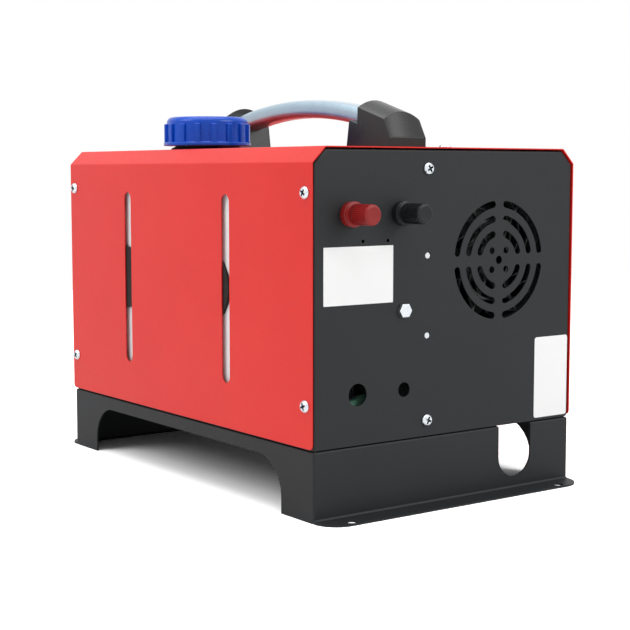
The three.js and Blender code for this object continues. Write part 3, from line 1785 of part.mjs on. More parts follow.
piece('lower_jacket', lowerJacket(), black_plastic);
piece('upper_jacket', upperJacket(), black_plastic);
piece('heat_exchanger', heatExchanger(), cast_aluminium);
piece('combustion_tube', combustionTube(), steel);
piece('blower_housing', blowerHousing(), cast_aluminium);
piece('blower_motor', blowerMotor(), steel);
piece('motor_shaft', motorShaft(), steel);
piece('fan_wheel', fanWheel(), black_plastic);
piece('impeller', impeller(), cast_aluminium);
piece('intake_guard', intakeGuard(), black_plastic);
piece('glow_plug', glowPlug(), steel);
piece('control_unit', controlUnit(), black_plastic);
piece('heater_gasket', heaterGasket(), rubber);
piece('outlet_nozzle', outletNozzle(), black_plastic);

piece('vent_collar', ventCollar(), black_plastic);
piece('vent_rotor', ventRotor(), black_plastic);
louvrePlaces().forEach((z, i) => piece(`vent_louvre_${i + 1}`, louvre(z), black_plastic));

piece('control_case', controlCase(), black_plastic);
piece('control_lens', controlLens(), dark_lens);
piece('control_board', controlBoard(), board_green);
for (const [name, x, z] of buttonPlaces()) piece(name, controlButton(x, z), natural_plastic);

export default heater;
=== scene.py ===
"""The diesel heater dressed for its picture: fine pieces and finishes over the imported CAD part.

Sizes and places are typed in millimetres, and a finished piece is in metres. The studio is typed in metres.
"""

import logging
import math
from collections.abc import Callable, Sequence
from dataclasses import dataclass
from enum import Enum, IntEnum

import bmesh
import bpy
from mathutils import Matrix, Vector


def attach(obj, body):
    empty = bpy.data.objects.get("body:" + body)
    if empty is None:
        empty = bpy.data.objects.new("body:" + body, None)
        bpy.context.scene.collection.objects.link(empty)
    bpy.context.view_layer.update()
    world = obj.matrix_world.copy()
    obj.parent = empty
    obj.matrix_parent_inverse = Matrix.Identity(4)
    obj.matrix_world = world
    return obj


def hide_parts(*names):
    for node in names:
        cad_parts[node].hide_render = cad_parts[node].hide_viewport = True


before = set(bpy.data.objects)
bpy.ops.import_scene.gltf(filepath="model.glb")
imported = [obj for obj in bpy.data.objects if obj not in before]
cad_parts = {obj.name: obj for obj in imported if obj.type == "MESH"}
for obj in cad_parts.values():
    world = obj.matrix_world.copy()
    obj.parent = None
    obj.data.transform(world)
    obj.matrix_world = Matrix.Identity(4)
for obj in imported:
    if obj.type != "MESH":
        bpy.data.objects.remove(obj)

LOG = logging.getLogger("heater")
MM = 0.001
SAME_PLACE = 1e-6  # two worked out places this near are one
ON_CUT = 1e-4  # a corner this near to a cut lies on it
WELD = 0.002  # corners of a form this near are merged
CAD_WELD = 0.01  # and corners of a CAD node
FLAT = 1  # faces of a CAD node that meet at a smaller angle, in degrees, are one flat
SOFT = 32  # the angle in degrees up to which a piece's edges are shaded smooth
CAD_SOFT = 35  # and a CAD node's edges
BEND_STEPS = 4  # how many flats stand for the bend of a folded sheet
Link = tuple[bpy.types.Node, str | int]
Point = tuple[float, float]


class Axis(Enum):
    """An axis that a form is cut across."""

    X = (1.0, 0.0, 0.0)
    Y = (0.0, 1.0, 0.0)
    Z = (0.0, 0.0, 1.0)


def linear(colour: str) -> tuple[float, float, float, float]:
    """Turns an sRGB hex colour into the linear values that Blender's sockets take.

    Args:
        colour: six hex digits after a hash sign.

    Returns:
        Red, green, blue and alpha.
    """
    channels = [int(colour[start:start + 2], 16) / 255 for start in (1, 3, 5)]
    bent = [c / 12.92 if c <= 0.04045 else ((c + 0.055) / 1.055) ** 2.4 for c in channels]
    return bent[0], bent[1], bent[2], 1.0


def per_metre(size: float) -> float:
    """Gives a texture's scale on metre coordinates for grains of this size in millimetres."""
    return 1.0 / (size * MM)


class Plane(Enum):
    """A flat that an outline is drawn in: its two axes, then the way that its depth goes."""

    END = ((1, 0, 0), (0, 0, 1), (0, 1, 0))
    SIDE = ((0, 1, 0), (0, 0, 1), (1, 0, 0))
    LEVEL = ((1, 0, 0), (0, 1, 0), (0, 0, 1))

    def at(self, x: float = 0, y: float = 0, z: float = 0) -> Matrix:
        """Gives the matrix that carries this flat's own axes to a place."""
        return Matrix.Translation((x, y, z)) @ Matrix(self.value).transposed().to_4x4()


def evenly(start: float, end: float, steps: int) -> list[float]:
    """Gives places in even steps from a start to an end, with both of them."""
    return [start + (end - start) * step / steps for step in range(steps + 1)]


def turns_round(count: int, axis: str = "Z") -> list[Matrix]:
    """Gives the matrices of a number of equal turns that fill a whole round."""
    return [Matrix.Rotation(2 * math.pi * number / count, 4, axis) for number in range(count)]


def polar(centre: Point, radius: float, angle: float) -> Point:
    """Gives the point that lies at a distance and at an angle in degrees from a centre."""
    turn = math.radians(angle)
    return centre[0] + radius * math.cos(turn), centre[1] + radius * math.sin(turn)


def arc(centre: Point, radius: float, start: float, end: float, steps: int) -> list[Point]:
    """Gives points along an arc.

    Args:
        centre: the arc's centre.
        radius: its radius.
        start: the angle of its first point, in degrees.
        end: the angle of its last point.
        steps: how many stretches it has.

    Returns:
        The points, one more than the steps.
    """
    return [polar(centre, radius, angle) for angle in evenly(start, end, steps)]


def circle(centre: Point, radius: float, steps: int = 32) -> list[Point]:
    """Gives points round a circle."""
    return arc(centre, radius, 0, 360, steps)[:-1]


def rounded(centre: Point, width: float, height: float, radius: float, steps: int = 8) -> list[Point]:
    """Gives the outline of a rectangle with round corners.

    Args:
        centre: its middle.
        width: its size along the flat's first axis.
        height: its size along the second.
        radius: the corners' radius.
        steps: how many stretches each corner has.

    Returns:
        The outline's points.
    """
    across, up = width / 2 - radius, height / 2 - radius
    points: list[Point] = []
    for turn, side, rise in ((0, 1, 1), (90, -1, 1), (180, -1, -1), (270, 1, -1)):
        corner = (centre[0] + side * across, centre[1] + rise * up)
        points += arc(corner, radius, turn, turn + 90, steps)
    return points


class Section:
    """The line that a folded sheet's face follows, seen along its bends: straight runs with round corners."""

    def __init__(self, corners: Sequence[Point], radius: float) -> None:
        """Works out where each straight run and each bend starts.

        Args:
            corners: the sharp corners, with the line's two ends.
            radius: the bends' radius on the face.
        """
        self.radius = radius
        self.corners = [Vector(corner) for corner in corners]
        self.headings = [(b - a).normalized() for a, b in zip(self.corners, self.corners[1:])]
        self.turns = [a.angle_signed(b) for a, b in zip(self.headings, self.headings[1:])]
        self.trims = [0.0] + [radius * math.tan(abs(turn) / 2) for turn in self.turns] + [0.0]
        self.starts = [0.0]
        for run in range(len(self.headings)):
            bend = radius * abs(self.turns[run]) if run < len(self.turns) else 0
            self.starts.append(self.starts[-1] + self.straight(run) + bend)

    @property
    def length(self) -> float:
        """The length of the whole line."""
        return self.starts[-1]

    def straight(self, run: int) -> float:
        """Gives the length of a run's flat stretch, between the bends at its two corners."""
        whole = (self.corners[run + 1] - self.corners[run]).length
        return whole - self.trims[run] - self.trims[run + 1]

    def bend_places(self) -> list[float]:
        """Gives the places along the line where its bends are cut into flats."""
        bends = [(end - self.radius * abs(turn), end) for end, turn in zip(self.starts[1:-1], self.turns)]
        return [place for start, end in bends for place in evenly(start, end, BEND_STEPS)]

    def along(self, run: int, distance: float) -> float:
        """Gives the place along the line that lies at a distance past a run's sharp corner."""
        return self.starts[run] - self.trims[run] + distance

    def at(self, place: float) -> tuple[Vector, Vector]:
        """Walks to a place on the line.

        Args:
            place: how far along it. A place past an end is taken as that end.

        Returns:
            The point and the way that the line goes there.
        """
        place = min(max(place, 0), self.length)
        run = max(index for index, start in enumerate(self.starts[:-1]) if start <= place + SAME_PLACE)
        heading = self.headings[run]
        begin = self.corners[run] + heading * self.trims[run]
        straight = self.straight(run)
        past = place - self.starts[run]
        if past <= straight or run == len(self.turns):
            return begin + heading * past, heading
        side = -math.copysign(1, self.turns[run])
        turned = side * (past - straight) / self.radius
        inward = Vector((-heading.y, heading.x)) * side
        centre = begin + heading * straight + inward * self.radius
        spin = Matrix.Rotation(turned, 2)
        return centre - (spin @ inward) * self.radius, spin @ heading


class Form:
    """A mesh in the making, in millimetres."""

    def __init__(self) -> None:
        """Starts empty."""
        self.mesh = bmesh.new()

    def loop(self, points: Sequence[Point], depth: float = 0) -> list[bmesh.types.BMEdge]:
        """Draws a closed outline at a depth and gives its edges."""
        corners = [self.mesh.verts.new((u, v, depth)) for u, v in points]
        return [self.mesh.edges.new(pair) for pair in zip(corners, corners[1:] + corners[:1])]

    def fill(self, *outlines: Sequence[Point], depth: float = 0) -> "Form":
        """Fills an outline, less the holes drawn inside it, with flat faces.

        Args:
            outlines: the outline, then its holes.
            depth: the depth that they lie at.

        Returns:
            The form.
        """
        edges = [edge for outline in outlines for edge in self.loop(outline, depth)]
        bmesh.ops.triangle_fill(self.mesh, use_beauty=True, use_dissolve=False, edges=edges)
        return self

    def pull(self, depth: float) -> "Form":
        """Pulls all the faces, so that they become a closed plate.

        Args:
            depth: how far they are pulled.

        Returns:
            The form.
        """
        made = bmesh.ops.extrude_face_region(self.mesh, geom=self.mesh.faces[:], use_keep_orig=True)["geom"]
        moved = [part for part in made if isinstance(part, bmesh.types.BMVert)]
        bmesh.ops.translate(self.mesh, vec=(0, 0, depth), verts=moved)
        return self

    def bridge(self, rings: Sequence[tuple[Sequence[Point], float]]) -> "Form":
        """Joins outlines by bands of faces.

        Args:
            rings: each outline with its depth. All have as many points.

        Returns:
            The form.
        """
        loops = [self.loop(points, depth) for points, depth in rings]
        for first, second in zip(loops, loops[1:]):
            bmesh.ops.bridge_loops(self.mesh, edges=first + second)
        return self

    def turn(self, profile: Sequence[Point], steps: int = 48) -> "Form":
        """Spins a profile of radii and depths once round the depth axis.

        Args:
            profile: each point's radius and depth. It starts and ends on the axis, or closes on itself.
            steps: how many flats the round has.

        Returns:
            The form.
        """
        corners = [self.mesh.verts.new((radius, 0, depth)) for radius, depth in profile]
        edges = [self.mesh.edges.new(pair) for pair in zip(corners, corners[1:])]
        bmesh.ops.spin(
            self.mesh, geom=corners + edges, cent=(0, 0, 0), axis=(0, 0, 1), dvec=(0, 0, 0),
            angle=2 * math.pi, steps=steps, use_merge=True, use_duplicate=False)
        return self

    def box(self, low: Sequence[float], high: Sequence[float]) -> "Form":
        """Makes a block between two corners.

        Args:
            low: the corner with the lowest places.
            high: the corner with the highest.

        Returns:
            The form.
        """
        size = [b - a for a, b in zip(low, high)]
        middle = [(a + b) / 2 for a, b in zip(low, high)]
        place = Matrix.Translation(middle) @ Matrix.Diagonal((*size, 1))
        bmesh.ops.create_cube(self.mesh, size=1, matrix=place)
        return self

    def node(self, name: str) -> "Form":
        """Copies a CAD node's mesh, welded and with its flats made whole.

        Args:
            name: the node's name.

        Returns:
            The form.
        """
        self.mesh.from_mesh(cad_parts[name].data)
        bmesh.ops.scale(self.mesh, vec=(1 / MM,) * 3, verts=self.mesh.verts)
        bmesh.ops.remove_doubles(self.mesh, verts=self.mesh.verts, dist=CAD_WELD)
        bmesh.ops.dissolve_limit(
            self.mesh, angle_limit=math.radians(FLAT), verts=self.mesh.verts, edges=self.mesh.edges)
        return self

    def soften(
        self, width: float, steps: int = 3, limit: float = 30, only: Callable[[Vector], bool] | None = None
    ) -> "Form":
        """Rounds the edges that are sharper than a limit.

        Args:
            width: how far the rounding reaches on each side.
            steps: how many flats it has.
            limit: the angle in degrees past which an edge is rounded.
            only: tells from an edge's middle whether it is rounded at all.

        Returns:
            The form.
        """
        self.weld()
        edges = [
            edge for edge in self.mesh.edges
            if len(edge.link_faces) == 2 and edge.calc_face_angle() > math.radians(limit)
            and (only is None or only((edge.verts[0].co + edge.verts[1].co) / 2))
        ]
        bmesh.ops.bevel(
            self.mesh, geom=edges, offset=width, offset_type="OFFSET", segments=steps, profile=0.5,
            affect="EDGES", clamp_overlap=True, material=-1)
        return self

    def slice(self, axis: Axis, places: Sequence[float]) -> "Form":
        """Cuts new edges across the faces.

        Args:
            axis: the axis that the cuts cross.
            places: where they lie along it.

        Returns:
            The form.
        """
        way = Vector(axis.value)
        for place in places:
            parts = self.mesh.verts[:] + self.mesh.edges[:] + self.mesh.faces[:]
            bmesh.ops.bisect_plane(self.mesh, geom=parts, dist=ON_CUT, plane_co=way * place, plane_no=way)
        return self

    def shift(self, move: Callable[[Vector], Vector]) -> "Form":
        """Moves every corner by a rule.

        Args:
            move: gives a corner's new place from its old one.

        Returns:
            The form.
        """
        for corner in self.mesh.verts:
            corner.co = move(corner.co)
        return self

    def weld(self) -> "Form":
        """Merges corners that meet, and turns the faces outwards.

        Returns:
            The form.
        """
        bmesh.ops.remove_doubles(self.mesh, verts=self.mesh.verts, dist=WELD)
        bmesh.ops.recalc_face_normals(self.mesh, faces=self.mesh.faces)
        return self

    def thicken(self, wall: float) -> "Form":
        """Gives an open sheet its thickness, behind its face.

        Args:
            wall: the sheet's thickness.

        Returns:
            The form.
        """
        self.weld()
        bmesh.ops.solidify(self.mesh, geom=self.mesh.faces[:], thickness=wall)
        return self

    def placed(self, *places: Matrix) -> "Form":
        """Puts the form at a place, or a copy of it at each of several.

        Args:
            places: the places.

        Returns:
            The form, with all its copies.
        """
        pattern = bpy.data.meshes.new("pattern")
        self.mesh.to_mesh(pattern)
        self.mesh.clear()
        for place in places:
            copy = bmesh.new()
            copy.from_mesh(pattern)
            copy.transform(place)
            self.take(copy)
        bpy.data.meshes.remove(pattern)
        return self

    def take(self, mesh: bmesh.types.BMesh) -> "Form":
        """Adds another mesh to this one and frees it.

        Args:
            mesh: the other mesh.

        Returns:
            The form.
        """
        carrier = bpy.data.meshes.new("carrier")
        mesh.to_mesh(carrier)
        mesh.free()
        self.mesh.from_mesh(carrier)
        bpy.data.meshes.remove(carrier)
        return self

    def join(self, *others: "Form") -> "Form":
        """Adds other forms to this one.

        Args:
            others: the other forms, which are used up.

        Returns:
            The form.
        """
        for other in others:
            self.take(other.weld().mesh)
        return self

    def finish(self, name: str, soft: float = SOFT) -> bpy.types.Object:
        """Makes the form an object, in metres, with its soft edges shaded smooth.

        Args:
            name: the piece's name.
            soft: the angle in degrees up to which an edge is shaded smooth.

        Returns:
            The object, linked to the scene.
        """
        self.weld()
        for face in self.mesh.faces:
            face.smooth = True
        for edge in self.mesh.edges:
            edge.smooth = len(edge.link_faces) == 2 and edge.calc_face_angle() < math.radians(soft)
        bmesh.ops.scale(self.mesh, vec=(MM,) * 3, verts=self.mesh.verts)
        data = bpy.data.meshes.new(name)
        self.mesh.to_mesh(data)
        self.mesh.free()
        made = bpy.data.objects.new(name, data)
        bpy.context.scene.collection.objects.link(made)
        even = made.modifiers.new("even_normals", "WEIGHTED_NORMAL")
        even.keep_sharp = True
        return made


class Graph:
    """A node tree in the making."""

    def __init__(self, tree: bpy.types.NodeTree) -> None:
        """Starts from an empty tree."""
        tree.nodes.clear()
        self.tree = tree

    def add(
        self,
        kind: str,
        settings: dict[str | int, object] | None = None,
        links: dict[str | int, Link] | None = None,
    ) -> bpy.types.Node:
        """Adds one node, sets it and links it.

        Args:
            kind: Blender's name of the node type.
            settings: values of input sockets, or of the node's own properties, by name or number.
            links: the node and output that feed an input socket, by that socket's name or number.

        Returns:
            The new node.
        """
        node = self.tree.nodes.new(kind)
        for name, value in (settings or {}).items():
            if isinstance(name, str) and name not in node.inputs:
                setattr(node, name, value)
        for name, value in (settings or {}).items():
            if isinstance(name, int) or name in node.inputs:
                node.inputs[name].default_value = value
        for name, (source, output) in (links or {}).items():
            self.tree.links.new(source.outputs[output], node.inputs[name])
        return node


@dataclass(frozen=True)
class Roughness:
    """How a roughness follows a pattern: low where the pattern is at start, and high where it is at end."""

    low: float
    high: float
    start: float = 0.3
    end: float = 0.7


class Surface(Graph):
    """The node tree of one material: a Principled shader fed by patterns on Object coordinates."""

    def __init__(self, name: str) -> None:
        """Makes the material, with its coordinates ready for patterns.

        Args:
            name: the material's name.
        """
        self.material = bpy.data.materials.new(name)
        self.material.use_nodes = True
        super().__init__(self.material.node_tree)
        self.place = self.add("ShaderNodeTexCoord")

    def grain(self, size: float, detail: float = 2.0, stretch: Sequence[float] = (1.0, 1.0, 1.0)) -> Link:
        """Lays an even noise over the piece.

        Args:
            size: the grain's size in millimetres.
            detail: how many finer layers the noise has.
            stretch: how many times longer the grain is along X, Y and Z.

        Returns:
            The link that carries the noise, from 0 to 1.
        """
        spread = self.add(
            "ShaderNodeMapping",
            {"Scale": tuple(per_metre(size) / length for length in stretch)},
            {"Vector": (self.place, "Object")},
        )
        layers = {"Scale": 1.0, "Detail": detail}
        return self.add("ShaderNodeTexNoise", layers, {"Vector": (spread, "Vector")}), "Fac"

    def tone(self, source: Link, first: str, second: str, start: float = 0.3, end: float = 0.7) -> Link:
        """Mixes two hex colours by a pattern.

        Args:
            source: the pattern.
            first: the colour where the pattern is at start or below.
            second: the colour where the pattern is at end or above.
            start: the pattern's value where the mix starts.
            end: the pattern's value where the mix ends.

        Returns:
            The link that carries the colour.
        """
        share = self.add("ShaderNodeMapRange", {"From Min": start, "From Max": end}, {"Value": source})
        # By number, because its sockets share names: 6 and 7 are the two colours, and output 2 is their mix.
        colours = {"data_type": "RGBA", 6: linear(first), 7: linear(second)}
        return self.add("ShaderNodeMix", colours, {0: (share, "Result")}), 2

    def close(
        self,
        settings: dict[str | int, object],
        colour: Link,
        polish: tuple[Link, Roughness],
        relief: tuple[Link, float],
    ) -> bpy.types.Material:
        """Maps two patterns onto the roughness and the relief, and adds the shader and the output.

        Args:
            settings: the shader's plain values.
            colour: the link that carries the colour.
            polish: the pattern that the roughness follows, and how it follows it.
            relief: the pattern that gives the relief's height, and the relief's depth in millimetres.

        Returns:
            The finished material.
        """
        (pattern, rough), (height, depth) = polish, relief
        limits = {"From Min": rough.start, "From Max": rough.end, "To Min": rough.low, "To Max": rough.high}
        mapped = self.add("ShaderNodeMapRange", limits, {"Value": pattern})
        bumps = self.add("ShaderNodeBump", {"Strength": 1.0, "Distance": depth * MM}, {"Height": height})
        feeds = {"Base Color": colour, "Roughness": (mapped, "Result"), "Normal": (bumps, "Normal")}
        shader = self.add("ShaderNodeBsdfPrincipled", settings, feeds)
        self.add("ShaderNodeOutputMaterial", {}, {"Surface": (shader, "BSDF")})
        return self.material


@dataclass(frozen=True)
class PowderCoat:
    """Powder coat on sheet steel. Sprayed dry and baked, it is even, satin and dimpled like orange peel."""

    name: str
    colour: str
    shade: str
    roughness: float
    peel: float = 2.4  # real dimples are about 1 mm across and are drawn coarser, so that they show
    relief: float = 0.012
    gloss: float = 0.4
    cloud: float = 70.0
    smoother: float = 0.04
    rougher: float = 0.05

    def build(self) -> bpy.types.Material:
        """Builds the coat with its dimples and a faint unevenness of colour.

        Returns:
            The material.
        """
        surface = Surface(self.name)
        dimples = surface.grain(self.peel, detail=3)
        return surface.close(
            {"IOR": 1.5, "Specular IOR Level": self.gloss},
            surface.tone(surface.grain(self.cloud), self.colour, self.shade),
            (dimples, Roughness(self.roughness - self.smoother, self.roughness + self.rougher)),
            (dimples, self.relief),
        )


@dataclass(frozen=True)
class Plastic:
    """Moulded plastic. The mould's eroded face leaves a fine grain, and thick walls vary a little in tone."""

    name: str
    colour: str
    shade: str
    roughness: float
    grain: float = 0.9  # a real spark finish is about 0.1 mm and is drawn coarser, so that it shows
    relief: float = 0.01
    coat: float = 0.0  # how much of a glassy skin the moulding has
    glow: float = 0.0  # how much light enters the wall and comes out near by
    gloss: float = 0.5
    cloud: float = 24.0
    smoother: float = 0.05
    rougher: float = 0.06
    glow_reach: tuple[float, float, float] = (0.006, 0.005, 0.004)  # of red, green and blue, in metres

    def build(self) -> bpy.types.Material:
        """Builds the plastic with its grain, tone and gloss.

        Returns:
            The material.
        """
        surface = Surface(self.name)
        spark = surface.grain(self.grain, detail=3)
        return surface.close(
            {"IOR": 1.49, "Specular IOR Level": self.gloss, "Coat Weight": self.coat, "Coat Roughness": 0.12,
             "Subsurface Weight": self.glow, "Subsurface Radius": self.glow_reach},
            surface.tone(surface.grain(self.cloud), self.colour, self.shade),
            (spark, Roughness(self.roughness - self.smoother, self.roughness + self.rougher)),
            (spark, self.relief),
        )


@dataclass(frozen=True)
class Metal:
    """Bare or plated metal. Rolling, turning or brushing leaves fine lines that stretch its highlights."""

    name: str
    colour: str
    tint: str
    roughness: float
    line: float = 0.5  # real lines are about 0.05 mm wide and are drawn coarser, so that they show
    stretch: tuple[float, float, float] = (1.0, 1.0, 1.0)
    relief: float = 0.006
    oxide: float = 0.0  # how much of the clear layer of anodising there is
    cloud: float = 14.0
    smoother: float = 0.07
    rougher: float = 0.08

    def build(self) -> bpy.types.Material:
        """Builds the metal with its lines and a faint tint from plating or handling.

        Returns:
            The material.
        """
        surface = Surface(self.name)
        lines = surface.grain(self.line, stretch=self.stretch)
        return surface.close(
            {"Metallic": 1.0, "Coat Weight": self.oxide, "Coat IOR": 1.7, "Coat Roughness": 0.2},
            surface.tone(surface.grain(self.cloud), self.colour, self.tint),
            (lines, Roughness(self.roughness - self.smoother, self.roughness + self.rougher)),
            (lines, self.relief),
        )


@dataclass(frozen=True)
class Galvanised:
    """Hot-dip galvanised sheet. The zinc freezes in flat crystals, which show as patches of grey."""

    name: str
    colour: str
    shade: str
    crystal: float = 9.0
    rough: Roughness = Roughness(0.34, 0.5, 0.1, 0.9)
    grit: float = 0.8
    relief: float = 0.004

    def build(self) -> bpy.types.Material:
        """Builds the zinc with its crystals.

        Returns:
            The material.
        """
        surface = Surface(self.name)
        crystals = surface.add(
            "ShaderNodeTexVoronoi", {"Scale": per_metre(self.crystal)}, {"Vector": (surface.place, "Object")})
        patches = (crystals, "Color")
        return surface.close(
            {"Metallic": 1.0},
            surface.tone(patches, self.colour, self.shade, self.rough.start, self.rough.end),
            (patches, self.rough),
            (surface.grain(self.grit), self.relief),
        )


@dataclass(frozen=True)
class Casting:
    """Die-cast aluminium, left as cast. Its skin is dull and sandy, with flow marks from the gate."""

    name: str
    colour: str
    shade: str
    flow: float = 22.0
    sand: float = 1.1  # real grit is about 0.3 mm and is drawn coarser, so that it shows
    rough: Roughness = Roughness(0.5, 0.68)
    relief: float = 0.03

    def build(self) -> bpy.types.Material:
        """Builds the casting with its sandy skin and flow marks.

        Returns:
            The material.
        """
        surface = Surface(self.name)
        sand = surface.grain(self.sand, detail=3)
        return surface.close(
            {"Metallic": 1.0},
            surface.tone(surface.grain(self.flow, detail=4), self.colour, self.shade),
            (sand, self.rough),
            (sand, self.relief),
        )


@dataclass(frozen=True)
class Rubber:
    """Moulded rubber or closed-cell foam. It is dark and dull, and its skin is pitted."""

    name: str
    colour: str
    shade: str
    pore: float
    relief: float
    cloud: float = 12.0
    rough: Roughness = Roughness(0.72, 0.9, 0, 0.6)

    def build(self) -> bpy.types.Material:
        """Builds the skin with its pores.

        Returns:
            The material.
        """
        surface = Surface(self.name)
        cells = surface.add(
            "ShaderNodeTexVoronoi", {"Scale": per_metre(self.pore)}, {"Vector": (surface.place, "Object")})
        pores = (cells, "Distance")
        return surface.close(
            {"IOR": 1.5},
            surface.tone(surface.grain(self.cloud, detail=3), self.colour, self.shade),
            (pores, self.rough),
            (pores, self.relief),
        )


@dataclass(frozen=True)
class ClearTube:
    """Clear plastic line or hose. Light passes it, and the extruder leaves faint streaks along it."""

    name: str
    colour: str
    shade: str
    clearness: float
    streak: float = 1.6
    rough: Roughness = Roughness(0.1, 0.2)
    relief: float = 0.01

    def build(self) -> bpy.types.Material:
        """Builds the clear wall with its streaks.

        Returns:
            The material.
        """
        surface = Surface(self.name)
        streaks = surface.grain(self.streak)
        return surface.close(
            {"IOR": 1.46, "Transmission Weight": self.clearness},
            surface.tone(streaks, self.colour, self.shade),
            (streaks, self.rough),
            (streaks, self.relief),
        )


@dataclass(frozen=True)
class CoatedBoard:
    """Glass-fibre circuit board under green lacquer. The copper below shows as paler tracks."""

    name: str
    colour: str
    track: str
    spacing: float = 12.0
    gap: float = 0.03  # a track's width as a share of their spacing
    cloud: float = 3.0
    rough: Roughness = Roughness(0.3, 0.42)
    relief: float = 0.03

    def build(self) -> bpy.types.Material:
        """Builds the lacquer with its tracks.

        Returns:
            The material.
        """
        surface = Surface(self.name)
        green = linear(self.colour)
        tracks = surface.add(
            "ShaderNodeTexBrick",
            {"Scale": per_metre(self.spacing), "Mortar Size": self.gap,
             "Color1": green, "Color2": green, "Mortar": linear(self.track)},
            {"Vector": (surface.place, "Object")},
        )
        return surface.close(
            {"IOR": 1.5, "Coat Weight": 0.4, "Coat Roughness": 0.1},
            (tracks, "Color"),
            (surface.grain(self.cloud), self.rough),
            ((tracks, "Fac"), self.relief),
        )


class Coat(Enum):
    """The finishes of the heater."""

    RED = PowderCoat("powder_coat_red", "#E6241B", "#E12018", 0.36)
    BLACK = PowderCoat("powder_coat_black", "#1D2022", "#1A1D1F", 0.5, peel=1.8, relief=0.016, gloss=0.34)
    GALVANISED = Galvanised("galvanised_sheet", "#B4B9BC", "#8F9497")
    # A darker zinc on the faces of the screws' cross recesses: painted shade, standing in for the shade down
    # in the recess.
    PAINTED_RECESS_SHADE = Metal("zinc_painted_recess_shade", "#46525C", "#3A444E", 0.5, line=0.4)
    ZINC = Metal("bright_zinc_plate", "#EEF3F7", "#DDE4EC", 0.24, line=0.4)
    TUBE = Metal("satin_anodised_tube", "#9EB6C4", "#98AFBE", 0.48, stretch=(1, 60, 1), oxide=1)
    FOOT = Plastic("moulded_polyamide_foot", "#151717", "#121414", 0.3, relief=0.003, coat=0.1, gloss=0.36)
    TANK = Plastic("natural_polyethylene", "#F3F7F9", "#EBF0F2", 0.42, grain=2.2, relief=0.03, glow=0.2)
    FOAM = Rubber("closed_cell_foam", "#17110F", "#100C0B", pore=1.6, relief=0.25)
    RUBBER = Rubber("moulded_rubber", "#1C1C1D", "#161617", pore=0.9, relief=0.02)
    BLUE = Plastic(
        "moulded_polypropylene_blue", "#0850CA", "#0648BA", 0.27,
        grain=1.1, relief=0.004, coat=0.25, gloss=0.2)
    STEEL = Metal("turned_steel", "#A7ABAD", "#9A9EA0", 0.34, line=0.4, stretch=(1, 1, 30))
    HOSE = ClearTube("clear_green_fuel_hose", "#8CC7AC", "#74B296", clearness=0.15)
    LINE = ClearTube("natural_nylon_line", "#E0E0D4", "#D4D4C6", clearness=0.7)
    RED_POST = Plastic("moulded_red_post", "#971D1B", "#891717", 0.34, gloss=0.4)
    BLACK_POST = Plastic("moulded_black_post", "#191B1D", "#151719", 0.34, gloss=0.32)
    JACKET = Plastic("glass_filled_polyamide", "#2A2A2A", "#242424", 0.55, grain=1.4, relief=0.03)
    FAN = Plastic("moulded_fan_polyamide", "#303434", "#292D2D", 0.3, grain=1.2)
    CASTING = Casting("die_cast_aluminium", "#A4A6A8", "#8E9092")
    VENT = Plastic("moulded_vent_abs", "#232525", "#1E2020", 0.46)
    PANEL = Plastic("moulded_panel_abs", "#262828", "#212323", 0.44)
    LENS = Plastic("smoked_acrylic_lens", "#101419", "#0C1014", 0.1, grain=3, relief=0.002, coat=0.6)
    BOARD = CoatedBoard("green_circuit_board", "#1A5C38", "#2F7A4E")
    BUTTON = Plastic("moulded_grey_button", "#929496", "#8A8C8E", 0.42)
    STICKER = Plastic("bare_vinyl_label", "#FEFEFE", "#FCFDFC", 0.5, grain=1.2, relief=0.001)


